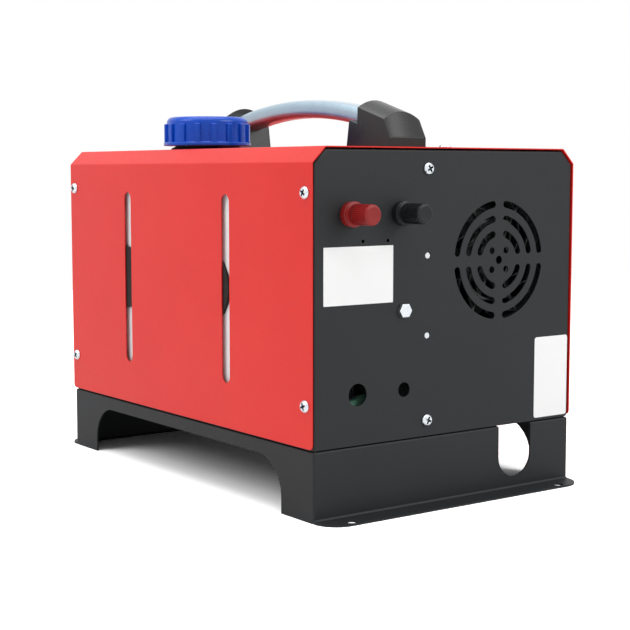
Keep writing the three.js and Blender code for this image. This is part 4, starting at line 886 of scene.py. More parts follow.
class Workshop:
    """Makes each finish once, and puts the finishes and the smoothing on the nodes of the CAD part."""

    def __init__(self) -> None:
        """Starts with no material made and the smoothing group ready."""
        self.made: dict[Coat, bpy.types.Material] = {}
        self.smoothing = self.smoothing_group()

    def smoothing_group(self) -> bpy.types.NodeTree:
        """Builds the geometry nodes that weld a node's loose triangles and shade its soft edges smooth.

        Returns:
            The node group.
        """
        group = bpy.data.node_groups.new("weld_and_smooth", "GeometryNodeTree")
        for way in ("INPUT", "OUTPUT"):
            group.interface.new_socket("Geometry", in_out=way, socket_type="NodeSocketGeometry")
        graph = Graph(group)
        start = graph.add("NodeGroupInput")
        weld = graph.add(
            "GeometryNodeMergeByDistance", {"Distance": CAD_WELD * MM}, {"Geometry": (start, "Geometry")})
        soft = graph.add("GeometryNodeSetShadeSmooth", {"domain": "FACE"}, {"Geometry": (weld, "Geometry")})
        angle = graph.add("GeometryNodeInputMeshEdgeAngle")
        steep = graph.add(
            "FunctionNodeCompare",
            {"data_type": "FLOAT", "operation": "GREATER_THAN", 1: math.radians(CAD_SOFT)},
            {0: (angle, "Unsigned Angle")},
        )
        hard = graph.add(
            "GeometryNodeSetShadeSmooth",
            {"domain": "EDGE", "Shade Smooth": False},
            {"Geometry": (soft, "Geometry"), "Selection": (steep, "Result")},
        )
        graph.add("NodeGroupOutput", {}, {"Geometry": (hard, "Geometry")})
        return group

    def material(self, coat: Coat) -> bpy.types.Material:
        """Gives a finish's material, made on its first use.

        Args:
            coat: the finish.

        Returns:
            The material.
        """
        if coat not in self.made:
            self.made[coat] = coat.value.build()
        return self.made[coat]

    def dress(self, coat: Coat, *nodes: str) -> None:
        """Puts a finish and smooth shading on nodes of the CAD part.

        Args:
            coat: the finish.
            nodes: the nodes' names.
        """
        for name in nodes:
            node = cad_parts[name]
            if not node.material_slots:
                node.data.materials.append(None)
            for slot in node.material_slots:
                slot.material = self.material(coat)
            modifier = node.modifiers.new("weld_and_smooth", "NODES")
            modifier.node_group = self.smoothing
        LOG.info("dressed %s in %s", ", ".join(nodes), coat.value.name)

    def refine(
        self,
        node: str,
        name: str,
        coat: Coat,
        width: float,
        body: str = "root",
        steps: int = 3,
    ) -> bpy.types.Object:
        """Makes a piece from a CAD node's own shape, with its sharp edges rounded.

        Args:
            node: the CAD node, which the piece replaces.
            name: the piece's name.
            coat: its finish.
            width: how far the rounding reaches on each side of an edge.
            body: the CAD body that it rides on.
            steps: how many flats the rounding has.

        Returns:
            The piece.
        """
        return self.piece(Form().node(node).soften(width, steps), name, coat, body, node)

    def piece(
        self,
        form: Form,
        name: str,
        coat: Coat,
        body: str = "root",
        replaces: str = "",
        soft: float = SOFT,
    ) -> bpy.types.Object:
        """Finishes a form as a piece of the heater.

        Args:
            form: the piece's shape.
            name: its name.
            coat: its finish.
            body: the CAD body that it rides on.
            replaces: the CAD node that it stands for, if it stands for one.
            soft: the angle in degrees up to which an edge is shaded smooth.

        Returns:
            The piece.
        """
        made = form.finish(name, soft)
        made.data.materials.append(self.material(coat))
        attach(made, body)
        if replaces:
            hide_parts(replaces)
        LOG.info("made %s with %d faces", name, len(made.data.polygons))
        return made


WORKSHOP = Workshop()


@dataclass(frozen=True)
class Lamp:
    """A square soft lamp: where it hangs and its side, in metres, and its power in watts."""

    name: str
    place: tuple[float, float, float]
    side: float
    power: float


@dataclass
class Studio:
    """The photographer's set, in metres: a pale floor, soft lamps and a camera."""

    azimuth: float = 144.04  # in degrees round from the front
    elevation: float = 5.75
    distance: float = 1.2618
    target: tuple[float, float, float] = (-0.0094, 0.0, 0.1307)
    lens: float = 80.78  # in millimetres
    floor_side: float = 3.6
    paint: str = "#F4F4F4"
    light: str = "#FFFFFF"
    sky: float = 0.33  # how strong the light from all round is
    backdrop: float = 1.0  # and the white that shows behind the set
    lamps: tuple[Lamp, ...] = (
        Lamp("overhead_lamp", (0.2, 0.1, 2.2), 2.2, 36.0),
        Lamp("side_lamp", (2.3, -0.4, 1.9), 1.6, 24.0),
        Lamp("rear_lamp", (-1.2, 2.4, 1.7), 1.6, 30.0),
    )

    def aimed(self, made: bpy.types.Object, place: Vector) -> None:
        """Puts a lamp or a camera in the set, facing the target.

        Args:
            made: the lamp or the camera.
            place: where it stands or hangs.
        """
        made.location = place
        made.rotation_euler = (Vector(self.target) - place).to_track_quat("-Z", "Y").to_euler()
        bpy.context.scene.collection.objects.link(made)

    def camera(self) -> None:
        """Sets the camera at the photograph's viewing angle."""
        turn = math.radians(self.azimuth)
        rise = math.radians(self.elevation)
        back = Vector((math.sin(turn) * math.cos(rise), -math.cos(turn) * math.cos(rise), math.sin(rise)))
        lens = bpy.data.cameras.new("camera")
        lens.lens = self.lens
        camera = bpy.data.objects.new("camera", lens)
        self.aimed(camera, Vector(self.target) + back * self.distance)
        bpy.context.scene.camera = camera

    def lamp(self, kind: Lamp) -> None:
        """Hangs one lamp.

        Args:
            kind: the lamp's name, place, side and power.
        """
        light = bpy.data.lights.new(kind.name, "AREA")
        light.size = kind.side
        light.energy = kind.power
        self.aimed(bpy.data.objects.new(kind.name, light), Vector(kind.place))

    def seen_straight(self, graph: Graph, mirrors: bool = True) -> Link:
        """Tells whether a ray comes from the camera, or by way of metal or glass.

        Args:
            graph: the node tree that asks.
            mirrors: whether rays by way of metal or glass count as well.

        Returns:
            The link that carries 1 for such a ray.
        """
        path = graph.add("ShaderNodeLightPath")
        seen = (path, "Is Camera Ray")
        for way in ("Is Glossy Ray", "Is Transmission Ray") if mirrors else ():
            either = graph.add("ShaderNodeMath", {"operation": "MAXIMUM"}, {0: seen, 1: (path, way)})
            seen = (either, "Value")
        return seen

    def world(self) -> None:
        """Lights the set evenly from all round, and shows white behind it."""
        world = bpy.data.worlds.new("studio")
        world.use_nodes = True
        bpy.context.scene.world = world
        graph = Graph(world.node_tree)
        light, white = (
            graph.add("ShaderNodeBackground", {"Color": linear(self.light), "Strength": strength})
            for strength in (self.sky, self.backdrop)
        )
        seen = self.seen_straight(graph)
        mix = graph.add(
            "ShaderNodeMixShader", {}, {0: seen, 1: (light, "Background"), 2: (white, "Background")})
        graph.add("ShaderNodeOutputWorld", {}, {"Surface": (mix, "Shader")})

    def floor(self) -> None:
        """Lays a plain white floor that takes the shadow, and shows it twice as bright as it lights."""
        mesh = bmesh.new()
        bmesh.ops.create_grid(mesh, x_segments=1, y_segments=1, size=self.floor_side / 2)
        data = bpy.data.meshes.new("floor")
        mesh.to_mesh(data)
        mesh.free()
        material = bpy.data.materials.new("matt_white_floor")
        material.use_nodes = True
        graph = Graph(material.node_tree)
        paint = graph.add("ShaderNodeBsdfDiffuse", {"Color": linear(self.paint)})
        double = graph.add("ShaderNodeAddShader", {}, {0: (paint, "BSDF"), 1: (paint, "BSDF")})
        seen = self.seen_straight(graph, mirrors=False)
        mix = graph.add("ShaderNodeMixShader", {}, {0: seen, 1: (paint, "BSDF"), 2: (double, "Shader")})
        graph.add("ShaderNodeOutputMaterial", {}, {"Surface": (mix, "Shader")})
        data.materials.append(material)
        floor = bpy.data.objects.new("floor", data)
        bpy.context.scene.collection.objects.link(floor)

    def build(self) -> None:
        """Sets up the whole studio."""
        bpy.context.scene.view_settings.view_transform = "Standard"
        self.camera()
        self.world()
        self.floor()
        for kind in self.lamps:
            self.lamp(kind)
        LOG.info("studio ready")


@dataclass(frozen=True)
class Case:
    """The folded case: its outer sizes, and the places on it that several sub-assemblies share."""

    half_width: float = 133.0
    half_length: float = 192.5
    top: float = 276.5
    corner_cut: float = 12.0
    panel_face: float = 192.0  # how far behind the middle the rear panel's face lies
    filler: Point = (79.5, -36.0)  # across and along, and the places below are across and up
    fan: Point = (-51.1, 188.0)
    pump_bolt: Point = (47.3, 153.2)
    positive_post: Point = (98.2, 226.8)
    negative_post: Point = (49.4, 226.8)
    control: Point = (80.1, 194.2)

    def outline(self, inset: float, bottom: float) -> list[Point]:
        """Gives the case's outline seen from an end, open below, with its two top corners cut off.

        Args:
            inset: how far it is drawn in from the shell's face.
            bottom: the height of its two lower ends.

        Returns:
            The six corners, from the lower right one round to the lower left one.
        """
        half, top = self.half_width - inset, self.top - inset
        cut = self.corner_cut - inset * (2 - math.sqrt(2))
        right = [(half, bottom), (half, top - cut), (half - cut, top)]
        return right + [(-u, v) for u, v in reversed(right)]


CASE = Case()


@dataclass
class Screw:
    """A pan-head case screw, zinc plated, with a cross recess."""

    head: float = 9.6
    height: float = 2.4
    recess: float = 5.8
    arm: float = 1.6
    depth: float = 4.2
    neck: float = 3.4  # the radius of what joins the head to the sheet
    gap: float = 0.3  # how far the head stands off the sheet
    rim: float = 0.2
    land: float = 0.5  # the width of the flat ring round the recess
    shoulders: tuple[Point, ...] = ((0.96, 0.52), (0.84, 0.8))  # shares of the head's radius and height
    taper: float = 0.45  # the size of the recess's floor as a share of its mouth
    flats: int = 24

    def form(self) -> Form:
        """Builds the head on its own axis, with the face of the sheet that it holds at depth 0.

        Returns:
            The head. The faces of its recess are in the second material slot, which takes a darker zinc as
            painted shade for the recess.
        """
        radius, flat = self.head / 2, self.recess / 2 + self.land
        profile = [(0, 0), (self.neck, 0), (self.neck, self.gap)]
        profile += [(radius - self.rim, self.gap), (radius, self.gap + self.rim)]
        profile += [(radius * across, self.height * up) for across, up in self.shoulders]
        form = Form().turn(profile + [(flat, self.height)], self.flats)
        half, reach = self.arm / 2, self.recess / 2
        mouth = []
        for quarter in range(4):
            spin = Matrix.Rotation(math.radians(90 * quarter), 2)
            mouth += [tuple(spin @ Vector(point)) for point in ((reach, -half), (reach, half), (half, half))]
        form.fill(circle((0, 0), flat, self.flats), mouth, depth=self.height)
        floor = [(u * self.taper, v * self.taper) for u, v in mouth]
        outside = set(form.mesh.faces)
        form.bridge([(mouth, self.height), (floor, self.height - self.depth)])
        form.fill(floor, depth=self.height - self.depth)
        # The recess's faces take the second material, the darker zinc of painted shade.
        for face in form.mesh.faces:
            face.material_index = int(face not in outside)
        return form

    def drive(self, name: str, place: Matrix) -> None:
        """Drives one screw in.

        Args:
            name: the piece's name.
            place: the matrix that carries the screw from its own axis to its place.
        """
        made = WORKSHOP.piece(self.form().placed(place), name, Coat.ZINC)
        # The second material paints shade into the cross recess.
        made.data.materials.append(WORKSHOP.material(Coat.PAINTED_RECESS_SHADE))


@dataclass
class CaseShell:
    """The red shell: one sheet folded over the case, with level slots that show the fuel tank."""

    bottom: float = 55.2
    sheet: float = 0.9
    bend: float = 2.0
    corner: float = 3.6
    slot_width: float = 11.6
    slot_ends: tuple[float, float] = (91.2, 240.2)
    slot_places: tuple[float, float] = (-83.0, 76.0)
    slot_flat: float = 0.01  # half of the flat that keeps the two corners of a round slot end apart
    screw_hole: float = 5.4
    screw_from_end: float = 8.5
    screw_heights: tuple[float, float] = (86.7, 242.7)
    screw_turn: float = 37.0  # how many degrees further each screw stops than the one before
    filler_hole: float = 59.6

    def blank(self, section: Section) -> Form:
        """Cuts the flat blank: along the fold line by the case's length.

        Args:
            section: the fold line.

        Returns:
            The blank, with its slots and holes.
        """
        length, half = section.length, CASE.half_length
        outline = rounded((length / 2, 0), length, half * 2, self.corner)
        low, high = (end - self.bottom for end in self.slot_ends)
        end_radius = self.slot_width / 2 - self.slot_flat
        holes = [
            rounded(((low + high) / 2, place), high - low, self.slot_width, end_radius, steps=10)
            for place in self.slot_places
        ]
        top_run = 2  # after the right side and its cut corner
        across, along = CASE.filler
        filler = (section.along(top_run, CASE.half_width - CASE.corner_cut - across), along)
        holes.append(circle(filler, self.filler_hole / 2, steps=64))
        for height in self.screw_heights:
            for end in (-1, 1):
                side = end * (half - self.screw_from_end)
                for place in (height - self.bottom, length - height + self.bottom):
                    holes.append(circle((place, side), self.screw_hole / 2, steps=20))
        return Form().fill(outline, *holes)

    def build(self) -> None:
        """Cuts, folds and coats the shell."""
        section = Section(CASE.outline(0, self.bottom), self.bend)
        form = self.blank(section).slice(Axis.X, section.bend_places())

        def fold(corner: Vector) -> Vector:
            """Carries a point of the blank to its place on the folded shell."""
            point, _ = section.at(corner.x)
            return Vector((point.x, corner.y, point.y))

        form.shift(fold).thicken(self.sheet)
        WORKSHOP.piece(form, "case_shell", Coat.RED, replaces="outer_shell")
        self.screws()

    def screws(self) -> None:
        """Drives the four screws into each side."""
        number = 0
        for side in (1, -1):
            for end in (-1, 1):
                for height in self.screw_heights:
                    number += 1
                    turned = Matrix.Rotation(math.radians(self.screw_turn * number), 4, "Z")
                    facing = Matrix.Rotation(math.radians(90 * side), 4, "Y")
                    spot = (side * CASE.half_width, end * (CASE.half_length - self.screw_from_end), height)
                    Screw().drive(f"side_screw_{number}", Matrix.Translation(spot) @ facing @ turned)


@dataclass
class Intake:
    """The fan intake: rings of arc slots with spokes between them, and round holes in the middle."""

    centre: Point = CASE.fan
    rings: tuple[float, ...] = (47.4, 35.8, 24.2)  # the outer radius of each ring of slots
    slot_width: float = 5.6
    half_spoke: float = 4.0
    hole_offset: float = 7.55  # from the middle, both across and up
    hole: float = 5.5
    middle_hole: float = 6.6

    def slot(self, outer: float, quarter: int) -> list[Point]:
        """Draws one arc slot with round ends.

        Args:
            outer: the radius of its outer edge.
            quarter: which quarter of its ring it fills.

        Returns:
            The slot's outline.
        """
        end = self.slot_width / 2
        middle = outer - end
        margin = math.degrees(math.asin((self.half_spoke + end) / middle))
        start, stop = quarter * 90 + margin, quarter * 90 + 90 - margin
        first, last = (polar(self.centre, middle, angle) for angle in (start, stop))
        stretches = (
            arc(self.centre, outer, start, stop, steps=16),
            arc(last, end, stop, stop + 180, steps=8),
            arc(self.centre, middle - end, stop, start, steps=12),
            arc(first, end, start + 180, start + 360, steps=8),
        )
        return [point for stretch in stretches for point in stretch[:-1]]

    def openings(self) -> list[list[Point]]:
        """Draws all the slots and holes.

        Returns:
            Their outlines.
        """
        openings = [self.slot(outer, quarter) for outer in self.rings for quarter in range(4)]
        x, z = self.centre
        for across in (-self.hole_offset, self.hole_offset):
            for up in (-self.hole_offset, self.hole_offset):
                openings.append(circle((x + across, z + up), self.hole / 2, steps=20))
        return openings + [circle(self.centre, self.middle_hole / 2, steps=24)]


class End(IntEnum):
    """An end of the case, by the way along Y that it faces."""

    REAR = 1
    FRONT = -1


@dataclass
class EndPanel:
    """A black end panel: a tray whose flanges turn in under the shell."""

    name: str
    node: str
    end: End
    bottom: float = 54.3
    flange: float = 16.0
    sheet: float = 1.2
    bend: float = 1.6
    bend_steps: int = 5
    inset: float = 2.0  # of the flanges, from the shell's outer face
    partition_x: float = 23.2
    screw_heights: tuple[float, float] = (66.5, 260.2)
    screw_hole: float = 5.4
    turn_from: float = 20.0  # the angle in degrees that the screws' turns are counted from
    screw_turn: float = 50.0  # how much further each screw stops than the one before
    plug_heights: tuple[float, float] = (132.4, 194.0)
    plug_hole: float = 5.7
    bolt_hole: float = 6.4
    hose: Point = (90.6, 92.4)
    hose_hole: float = 17.0
    cable: Point = (46.0, 92.4)
    cable_hole: float = 11.3
    small_hole: float = 2.8
    small_places: tuple[Point, ...] = ((62.4, 206.6), (86.0, 206.6))
    post_hole: float = 9.0
    outlet_hole: float = 88.6
    window: tuple[float, float, float] = (64.0, 84.0, 5.0)  # width, height and the corners' radius

    def rear_openings(self) -> list[list[Point]]:
        """Draws the rear panel's own openings: the intake, and holes for plugs, bolt, hose, cable and posts.

        Returns:
            Their outlines.
        """
        plugs = [(self.partition_x, height) for height in self.plug_heights]
        holes = Intake().openings() + [circle(place, self.plug_hole / 2, steps=20) for place in plugs]
        holes.append(circle(CASE.pump_bolt, self.bolt_hole / 2, steps=20))
        holes.append(circle(self.hose, self.hose_hole / 2, steps=40))
        holes.append(circle(self.cable, self.cable_hole / 2, steps=32))
        holes += [circle(place, self.small_hole / 2, steps=16) for place in self.small_places]
        posts = (CASE.negative_post, CASE.positive_post)
        return holes + [circle(place, self.post_hole / 2, steps=24) for place in posts]

    def front_openings(self) -> list[list[Point]]:
        """Draws the front panel's own openings: the warm air outlet and the control panel's window.

        Returns:
            Their outlines.
        """
        width, height, corner = self.window
        outlet = circle(CASE.fan, self.outlet_hole / 2, steps=96)
        return [outlet, rounded(CASE.control, width, height, corner)]

    def openings(self) -> list[list[Point]]:
        """Draws all the panel's openings.

        Returns:
            Their outlines. The front panel's are mirrored, because its tray is turned round once it is open.
        """
        screws = [(self.partition_x, height) for height in self.screw_heights]
        holes = [circle(place, self.screw_hole / 2, steps=20) for place in screws]
        holes += self.rear_openings() if self.end is End.REAR else self.front_openings()
        return [[(u * self.end, v) for u, v in hole] for hole in holes]

    def build(self) -> None:
        """Folds the tray, opens it and coats it."""
        rings = []
        for turn in evenly(0, math.pi / 2, self.bend_steps):
            outline = CASE.outline(self.inset + self.bend * (1 - math.sin(turn)), self.bottom)
            rings.append((outline, CASE.panel_face - self.bend * (1 - math.cos(turn))))
        rings.append((CASE.outline(self.inset, self.bottom), CASE.panel_face - self.flange))
        inner = CASE.outline(self.inset + self.bend, self.bottom)
        form = Form().fill(inner, *self.openings(), depth=CASE.panel_face)
        for pair in zip(rings, rings[1:]):
            form.bridge(pair)
        below = [face for face in form.mesh.faces if all(v.co.y < self.bottom + ON_CUT for v in face.verts)]
        bmesh.ops.delete(form.mesh, geom=below, context="FACES")
        form.thicken(self.sheet)
        turned = Matrix.Identity(4) if self.end is End.REAR else Matrix.Rotation(math.pi, 4, "Z")
        form.placed(turned @ Plane.END.at())
        WORKSHOP.piece(form, self.name, Coat.BLACK, replaces=self.node)
        self.screws()

    def screws(self) -> None:
        """Drives the two screws that hold the panel to the partition."""
        facing = Matrix.Rotation(math.radians(-90 * self.end), 4, "X")
        for number, height in enumerate(self.screw_heights, 1):
            turned = Matrix.Rotation(math.radians(self.turn_from + self.screw_turn * number), 4, "Z")
            spot = Matrix.Translation((self.partition_x, self.end * CASE.panel_face, height))
            Screw().drive(f"{self.name}_screw_{number}", spot @ facing @ turned)


class Wall(IntEnum):
    """The runs of the stand's wall, in the order in which its line passes them."""

    FRONT_RIGHT = 0
    RIGHT = 1
    REAR = 2
    LEFT = 3
    FRONT_LEFT = 4


@dataclass
class Stand:
    """The black stand: one sheet folded round, with an arch in each side and a flange at each end's foot."""

    half_width: float = 131.45
    half_length: float = 192.45
    height: float = 53.4
    sheet: float = 1.5
    rim: float = 20.0  # how far the rim that carries the case turns in
    bend: float = 1.6
    arch_leg: float = 42.0  # the width of a leg beside an arch
    arch_height: float = 42.2
    arch_corner: float = 30.0
    foot: float = 20.5
    foot_corner: float = 20.0
    foot_hole: float = 8.5
    hole_inset: tuple[float, float] = (24.5, 6.5)  # from the stand's side and from the flange's outer edge
    pipe_slot: tuple[float, float, float] = (-70.7, 35.4, 10.9)  # its middle, its width and its sill's height
    mitre: float = 2.0  # how far from a corner the rims on both sides of it start
    arch_steps: int = 16
    slot_steps: int = 24

    @property
    def flange_top(self) -> float:
        """The height above the floor where the bend of a foot flange starts."""
        return self.sheet + self.bend

    @property
    def bend_length(self) -> float:
        """The length of blank that a quarter bend takes up."""
        return self.bend * math.pi / 2

    def round_plan(self) -> Section:
        """Gives the wall's line seen from above, from the middle of the front wall and back to it."""
        x, y = self.half_width, self.half_length
        return Section([(0, -y), (x, -y), (x, y), (-x, y), (-x, -y), (0, -y)], self.bend)

    def foot_line(self, plan: Section, run: Wall, first: float, last: float) -> list[Point]:
        """Gives the lower edge of an end wall, which stops above the bend of its foot flange.

        Args:
            plan: the line seen from above.
            run: the end wall's run of it.
            first: the distance along the run where the flange starts.
            last: the distance where it ends.

        Returns:
            The edge's points.
        """
        start, end = plan.along(run, first), plan.along(run, last)
        return [(start, 0), (start, self.flange_top), (end, self.flange_top), (end, 0)]

    def arch(self, plan: Section, run: Wall) -> list[Point]:
        """Gives the lower edge of a side wall: two legs with an arch between them.

        Args:
            plan: the line seen from above.
            run: the side wall's run of it.

        Returns:
            The edge's points.
        """
        near = plan.along(run, self.arch_leg)
        far = plan.along(run, self.half_length * 2 - self.arch_leg)
        spring = self.arch_height - self.arch_corner
        rise = arc((near + self.arch_corner, spring), self.arch_corner, 180, 90, self.arch_steps)
        fall = arc((far - self.arch_corner, spring), self.arch_corner, 90, 0, self.arch_steps)
        return [(near, 0), *rise, *fall, (far, 0)]

    def top_line(self, plan: Section) -> list[Point]:
        """Gives the upper edge with its four rims, mitred at the corners and cut by the pipe slot.

        Args:
            plan: the line seen from above.

        Returns:
            The edge's points, from the line's end back to its start.
        """
        top, reach = self.height, self.height + self.rim
        half, width, length = self.half_width, self.half_width * 2, self.half_length * 2
        points: list[Point] = [(plan.length, reach)]
        # The line starts and ends in the middle of the front wall, so its end runs have one corner each.
        for run, size in zip(reversed(Wall), (half, length, width, length, half)):
            if run is not Wall.FRONT_LEFT:
                start, end = plan.along(run, size - self.mitre), plan.along(run, size - self.rim)
                points += [(start, top), (end, reach)]
            if run is Wall.REAR:
                points += self.pipe_cut(plan, reach)
            if run is not Wall.FRONT_RIGHT:
                points += [(plan.along(run, self.rim), reach), (plan.along(run, self.mitre), top)]
        return points + [(0, reach)]

    def pipe_cut(self, plan: Section, reach: float) -> list[Point]:
        """Draws the pipe slot of the rear wall, open at the top.

        Args:
            plan: the line seen from above.
            reach: the height of the blank's upper edge.

        Returns:
            The slot's points, from its far side to its near side.
        """
        centre, width, sill = self.pipe_slot
        middle = plan.along(Wall.REAR, self.half_width - centre)
        radius = width / 2
        curve = arc((middle, sill + radius), radius, 0, -180, self.slot_steps)
        return [(middle + radius, reach), *curve, (middle - radius, reach)]

    def wall(self) -> Form:
        """Cuts the wall's blank with its arches, rims and slot, and folds it round.

        Returns:
            The wall.
        """
        plan = self.round_plan()
        half, width = self.half_width, self.half_width * 2
        lower = self.foot_line(plan, Wall.FRONT_RIGHT, 0, half - self.bend)[1:]
        lower += self.arch(plan, Wall.RIGHT)
        lower += self.foot_line(plan, Wall.REAR, self.bend, width - self.bend)
        lower += self.arch(plan, Wall.LEFT)
        lower += self.foot_line(plan, Wall.FRONT_LEFT, self.bend, half)[:-1]
        start = self.height - self.bend
        form = Form().fill(lower + self.top_line(plan)).slice(Axis.X, plan.bend_places())
        form.slice(Axis.Y, evenly(start, start + self.bend_length, BEND_STEPS))

        def fold(corner: Vector) -> Vector:
            """Carries a point of the blank to its place on the folded wall.

            Args:
                corner: the point of the blank.

            Returns:
                Its place on the wall.
            """
            point, heading = plan.at(corner.x)
            inward = Vector((-heading.y, heading.x))
            past = corner.y - start
            if past <= 0:
                return Vector((*point, corner.y))
            turn = min(past / self.bend, math.pi / 2)
            flat = max(past - self.bend_length, 0)
            point = point + inward * (self.bend * (1 - math.cos(turn)) + flat)
            return Vector((*point, start + self.bend * math.sin(turn)))

        return form.shift(fold).thicken(self.sheet)

    def foot_flange(self) -> Form:
        """Cuts and folds the rear foot flange, with its two holes.

        Returns:
            The flange.
        """
        half = self.half_width - self.bend
        edge = self.bend_length + self.foot - self.bend
        across, down = self.half_width - self.hole_inset[0], edge - self.hole_inset[1]
        round_off = self.foot_corner
        outline = [(-half, 0), (half, 0)]
        outline += arc((self.half_width - round_off, edge - round_off), round_off, 0, 90, self.arch_steps)
        outline += arc((round_off - self.half_width, edge - round_off), round_off, 90, 180, self.arch_steps)
        holes = [circle((x, down), self.foot_hole / 2) for x in (across, -across)]
        form = Form().fill(outline, *holes).slice(Axis.Y, evenly(0, self.bend_length, BEND_STEPS)[1:])

        def fold(corner: Vector) -> Vector:
            """Carries a point of the blank to its place on the flange.

            Args:
                corner: the point of the blank.

            Returns:
                Its place on the flange.
            """
            turn = min(corner.y / self.bend, math.pi / 2)
            out = self.bend * (1 - math.cos(turn)) + max(corner.y - self.bend_length, 0)
            return Vector((corner.x, self.half_length + out, self.sheet + self.bend * (1 - math.sin(turn))))

        return form.shift(fold).thicken(self.sheet)

    def build(self) -> None:
        """Folds the stand and coats it."""
        flanges = self.foot_flange().placed(Matrix.Identity(4), Matrix.Rotation(math.pi, 4, "Z"))
        WORKSHOP.piece(self.wall().join(flanges), "stand_frame", Coat.BLACK, replaces="stand")


@dataclass
class Handle:
    """The carry handle: a bowed oval tube between two moulded feet."""

    half_width: float = 12.0
    half_thickness: float = 7.8
    squareness: float = 3.1  # a plain oval has 2, and more draws its sides flatter
    end: float = 114.0  # how far from the middle the tube ends
    middle: float = 312.1  # the height of the tube's own middle, halfway along it
    low: float = 296.7  # and at its ends
    bow_steps: int = 48
    bow_soft: float = 50.0
    foot_base: float = 276.8
    foot_half: float = 18.8
    foot_edge: float = 0.5
    foot_sharp: float = 24.0  # the foot's edges that turn by more degrees than this are rounded
    foot_arch: float = 6.4
    arch_start: float = 25.0  # the height above the foot's base where the arched top starts
    arch_blend: float = 3.0
    arch_steps: int = 16
    # The foot seen from its side: places along the case, and heights above the foot's base.
    foot_side: tuple[Point, ...] = (
        (82.5, 0), (139.4, 0), (139.4, 8.3), (138.9, 8.9),
        (131.3, 29.1), (97.3, 39.5), (97.0, 20.0), (86.2, 23.2))

    def section(self) -> list[Point]:
        """Gives the tube's section, an oval with flattened sides, about its own middle.

        Returns:
            The section's points.
        """
        power = 2 / self.squareness
        section = []
        for u, v in circle((0, 0), 1, steps=64):
            across = self.half_width * math.copysign(abs(u) ** power, u)
            section.append((across, self.half_thickness * math.copysign(abs(v) ** power, v)))
        return section

    def bow(self) -> Form:
        """Bends the tube into its bow, with closed ends.

        Returns:
            The bow.
        """
        rise = self.middle - self.low
        radius = (self.end ** 2 + rise ** 2) / (2 * rise)
        centre = self.middle - radius
        half_angle = math.asin(self.end / radius)
        form = Form()
        edges = form.loop(self.section())
        corners = [corner for edge in edges for corner in edge.verts[:1]]
        tilt = Matrix.Rotation(half_angle, 4, "X") @ Plane.END.at(z=radius)
        start = Matrix.Translation((0, 0, centre)) @ tilt
        bmesh.ops.transform(form.mesh, matrix=start, verts=form.mesh.verts)
        bmesh.ops.spin(
            form.mesh, geom=corners + edges, cent=(0, 0, centre), axis=(1, 0, 0), dvec=(0, 0, 0),
            angle=-2 * half_angle, steps=self.bow_steps, use_duplicate=False)
        bmesh.ops.holes_fill(form.mesh, edges=form.mesh.edges, sides=0)
        return form

    def shoe(self) -> Form:
        """Moulds the rear foot: a block with a leaning back and an arched top, which the tube enters.

        Returns:
            The foot.
        """
        half = self.foot_half
        form = Form().fill(self.foot_side, depth=-half).pull(half * 2).weld()
        form.slice(Axis.Z, evenly(-half, half, self.arch_steps)[1:-1])

        def arch(corner: Vector) -> Vector:
            """Lowers the top towards its two sides.

            Args:
                corner: a point of the straight block.

            Returns:
                Its place on the arched one.
            """
            share = min(max((corner.y - self.arch_start) / self.arch_blend, 0), 1)
            drop = self.foot_arch * (corner.z / half) ** 2 * share
            return Vector((corner.x, corner.y - drop, corner.z))

        form.shift(arch).soften(self.foot_edge, steps=2, limit=self.foot_sharp)
        return form.placed(Plane.SIDE.at(z=self.foot_base))

    def build(self) -> None:
        """Bends the tube and moulds the feet."""
        WORKSHOP.piece(
            self.bow(), "handle_bow", Coat.TUBE, replaces="handle_tube", soft=self.bow_soft)
        for end, turn in (("rear", 0), ("front", math.pi)):
            foot, node = self.shoe().placed(Matrix.Rotation(turn, 4, "Z")), f"handle_foot_{end}"
            WORKSHOP.piece(foot, f"handle_shoe_{end}", Coat.FOOT, replaces=node)


@dataclass
class FillerCap:
    """The blue tank cap with its grip ribs."""

    bottom: float = 280.0
    height: float = 24.5
    radius: float = 35.0
    bore: float = 26.5
    bore_depth: float = 16.3
    skirt: float = 37.7
    skirt_height: float = 3.0
    skirt_edge: float = 0.6
    skirt_fillet: float = 0.5
    shoulder: float = 5.0
    shoulder_flat: float = 3.0  # the ring of flat that sets the round shoulder off from the top
    rib_root: float = 33.0
    rib_start: float = 2.0
    rib_top: float = 18.6
    rib_setback: float = 0.4
    rib_width: float = 5.0
    rib_edge: float = 0.9
    ribs: int = 16
    flats: int = 96

    def profile(self) -> list[Point]:
        """Gives the cap's half section, with its bore open below.

        Returns:
            The radius and depth of its points.
        """
        edge, top = self.skirt_edge, self.skirt_height
        points = [(self.bore, 0), (self.skirt - edge, 0), (self.skirt, edge), (self.skirt, top - edge)]
        points += [(self.skirt - edge, top), (self.radius + self.skirt_fillet, top)]
        points += [(self.radius, top + self.skirt_fillet)]
        inner = self.radius - self.shoulder
        points += arc((inner, self.height - self.shoulder), self.shoulder, 0, 90, steps=8)
        points += [(inner - self.shoulder_flat, self.height), (0, self.height)]
        return points + [(0, self.bore_depth), (self.bore, self.bore_depth), (self.bore, 0)]

    def build(self) -> None:
        """Moulds the cap."""
        form = Form().turn(self.profile(), self.flats)
        half = self.rib_width / 2
        rib = Form().box(
            (self.rib_root, -half, self.rib_start), (self.skirt - self.rib_setback, half, self.rib_top))
        rib.soften(self.rib_edge)
        form.join(rib.placed(*turns_round(self.ribs))).placed(Plane.LEVEL.at(*CASE.filler, self.bottom))
        WORKSHOP.piece(form, "tank_cap", Coat.BLUE, "filler_cap", "filler_cap")


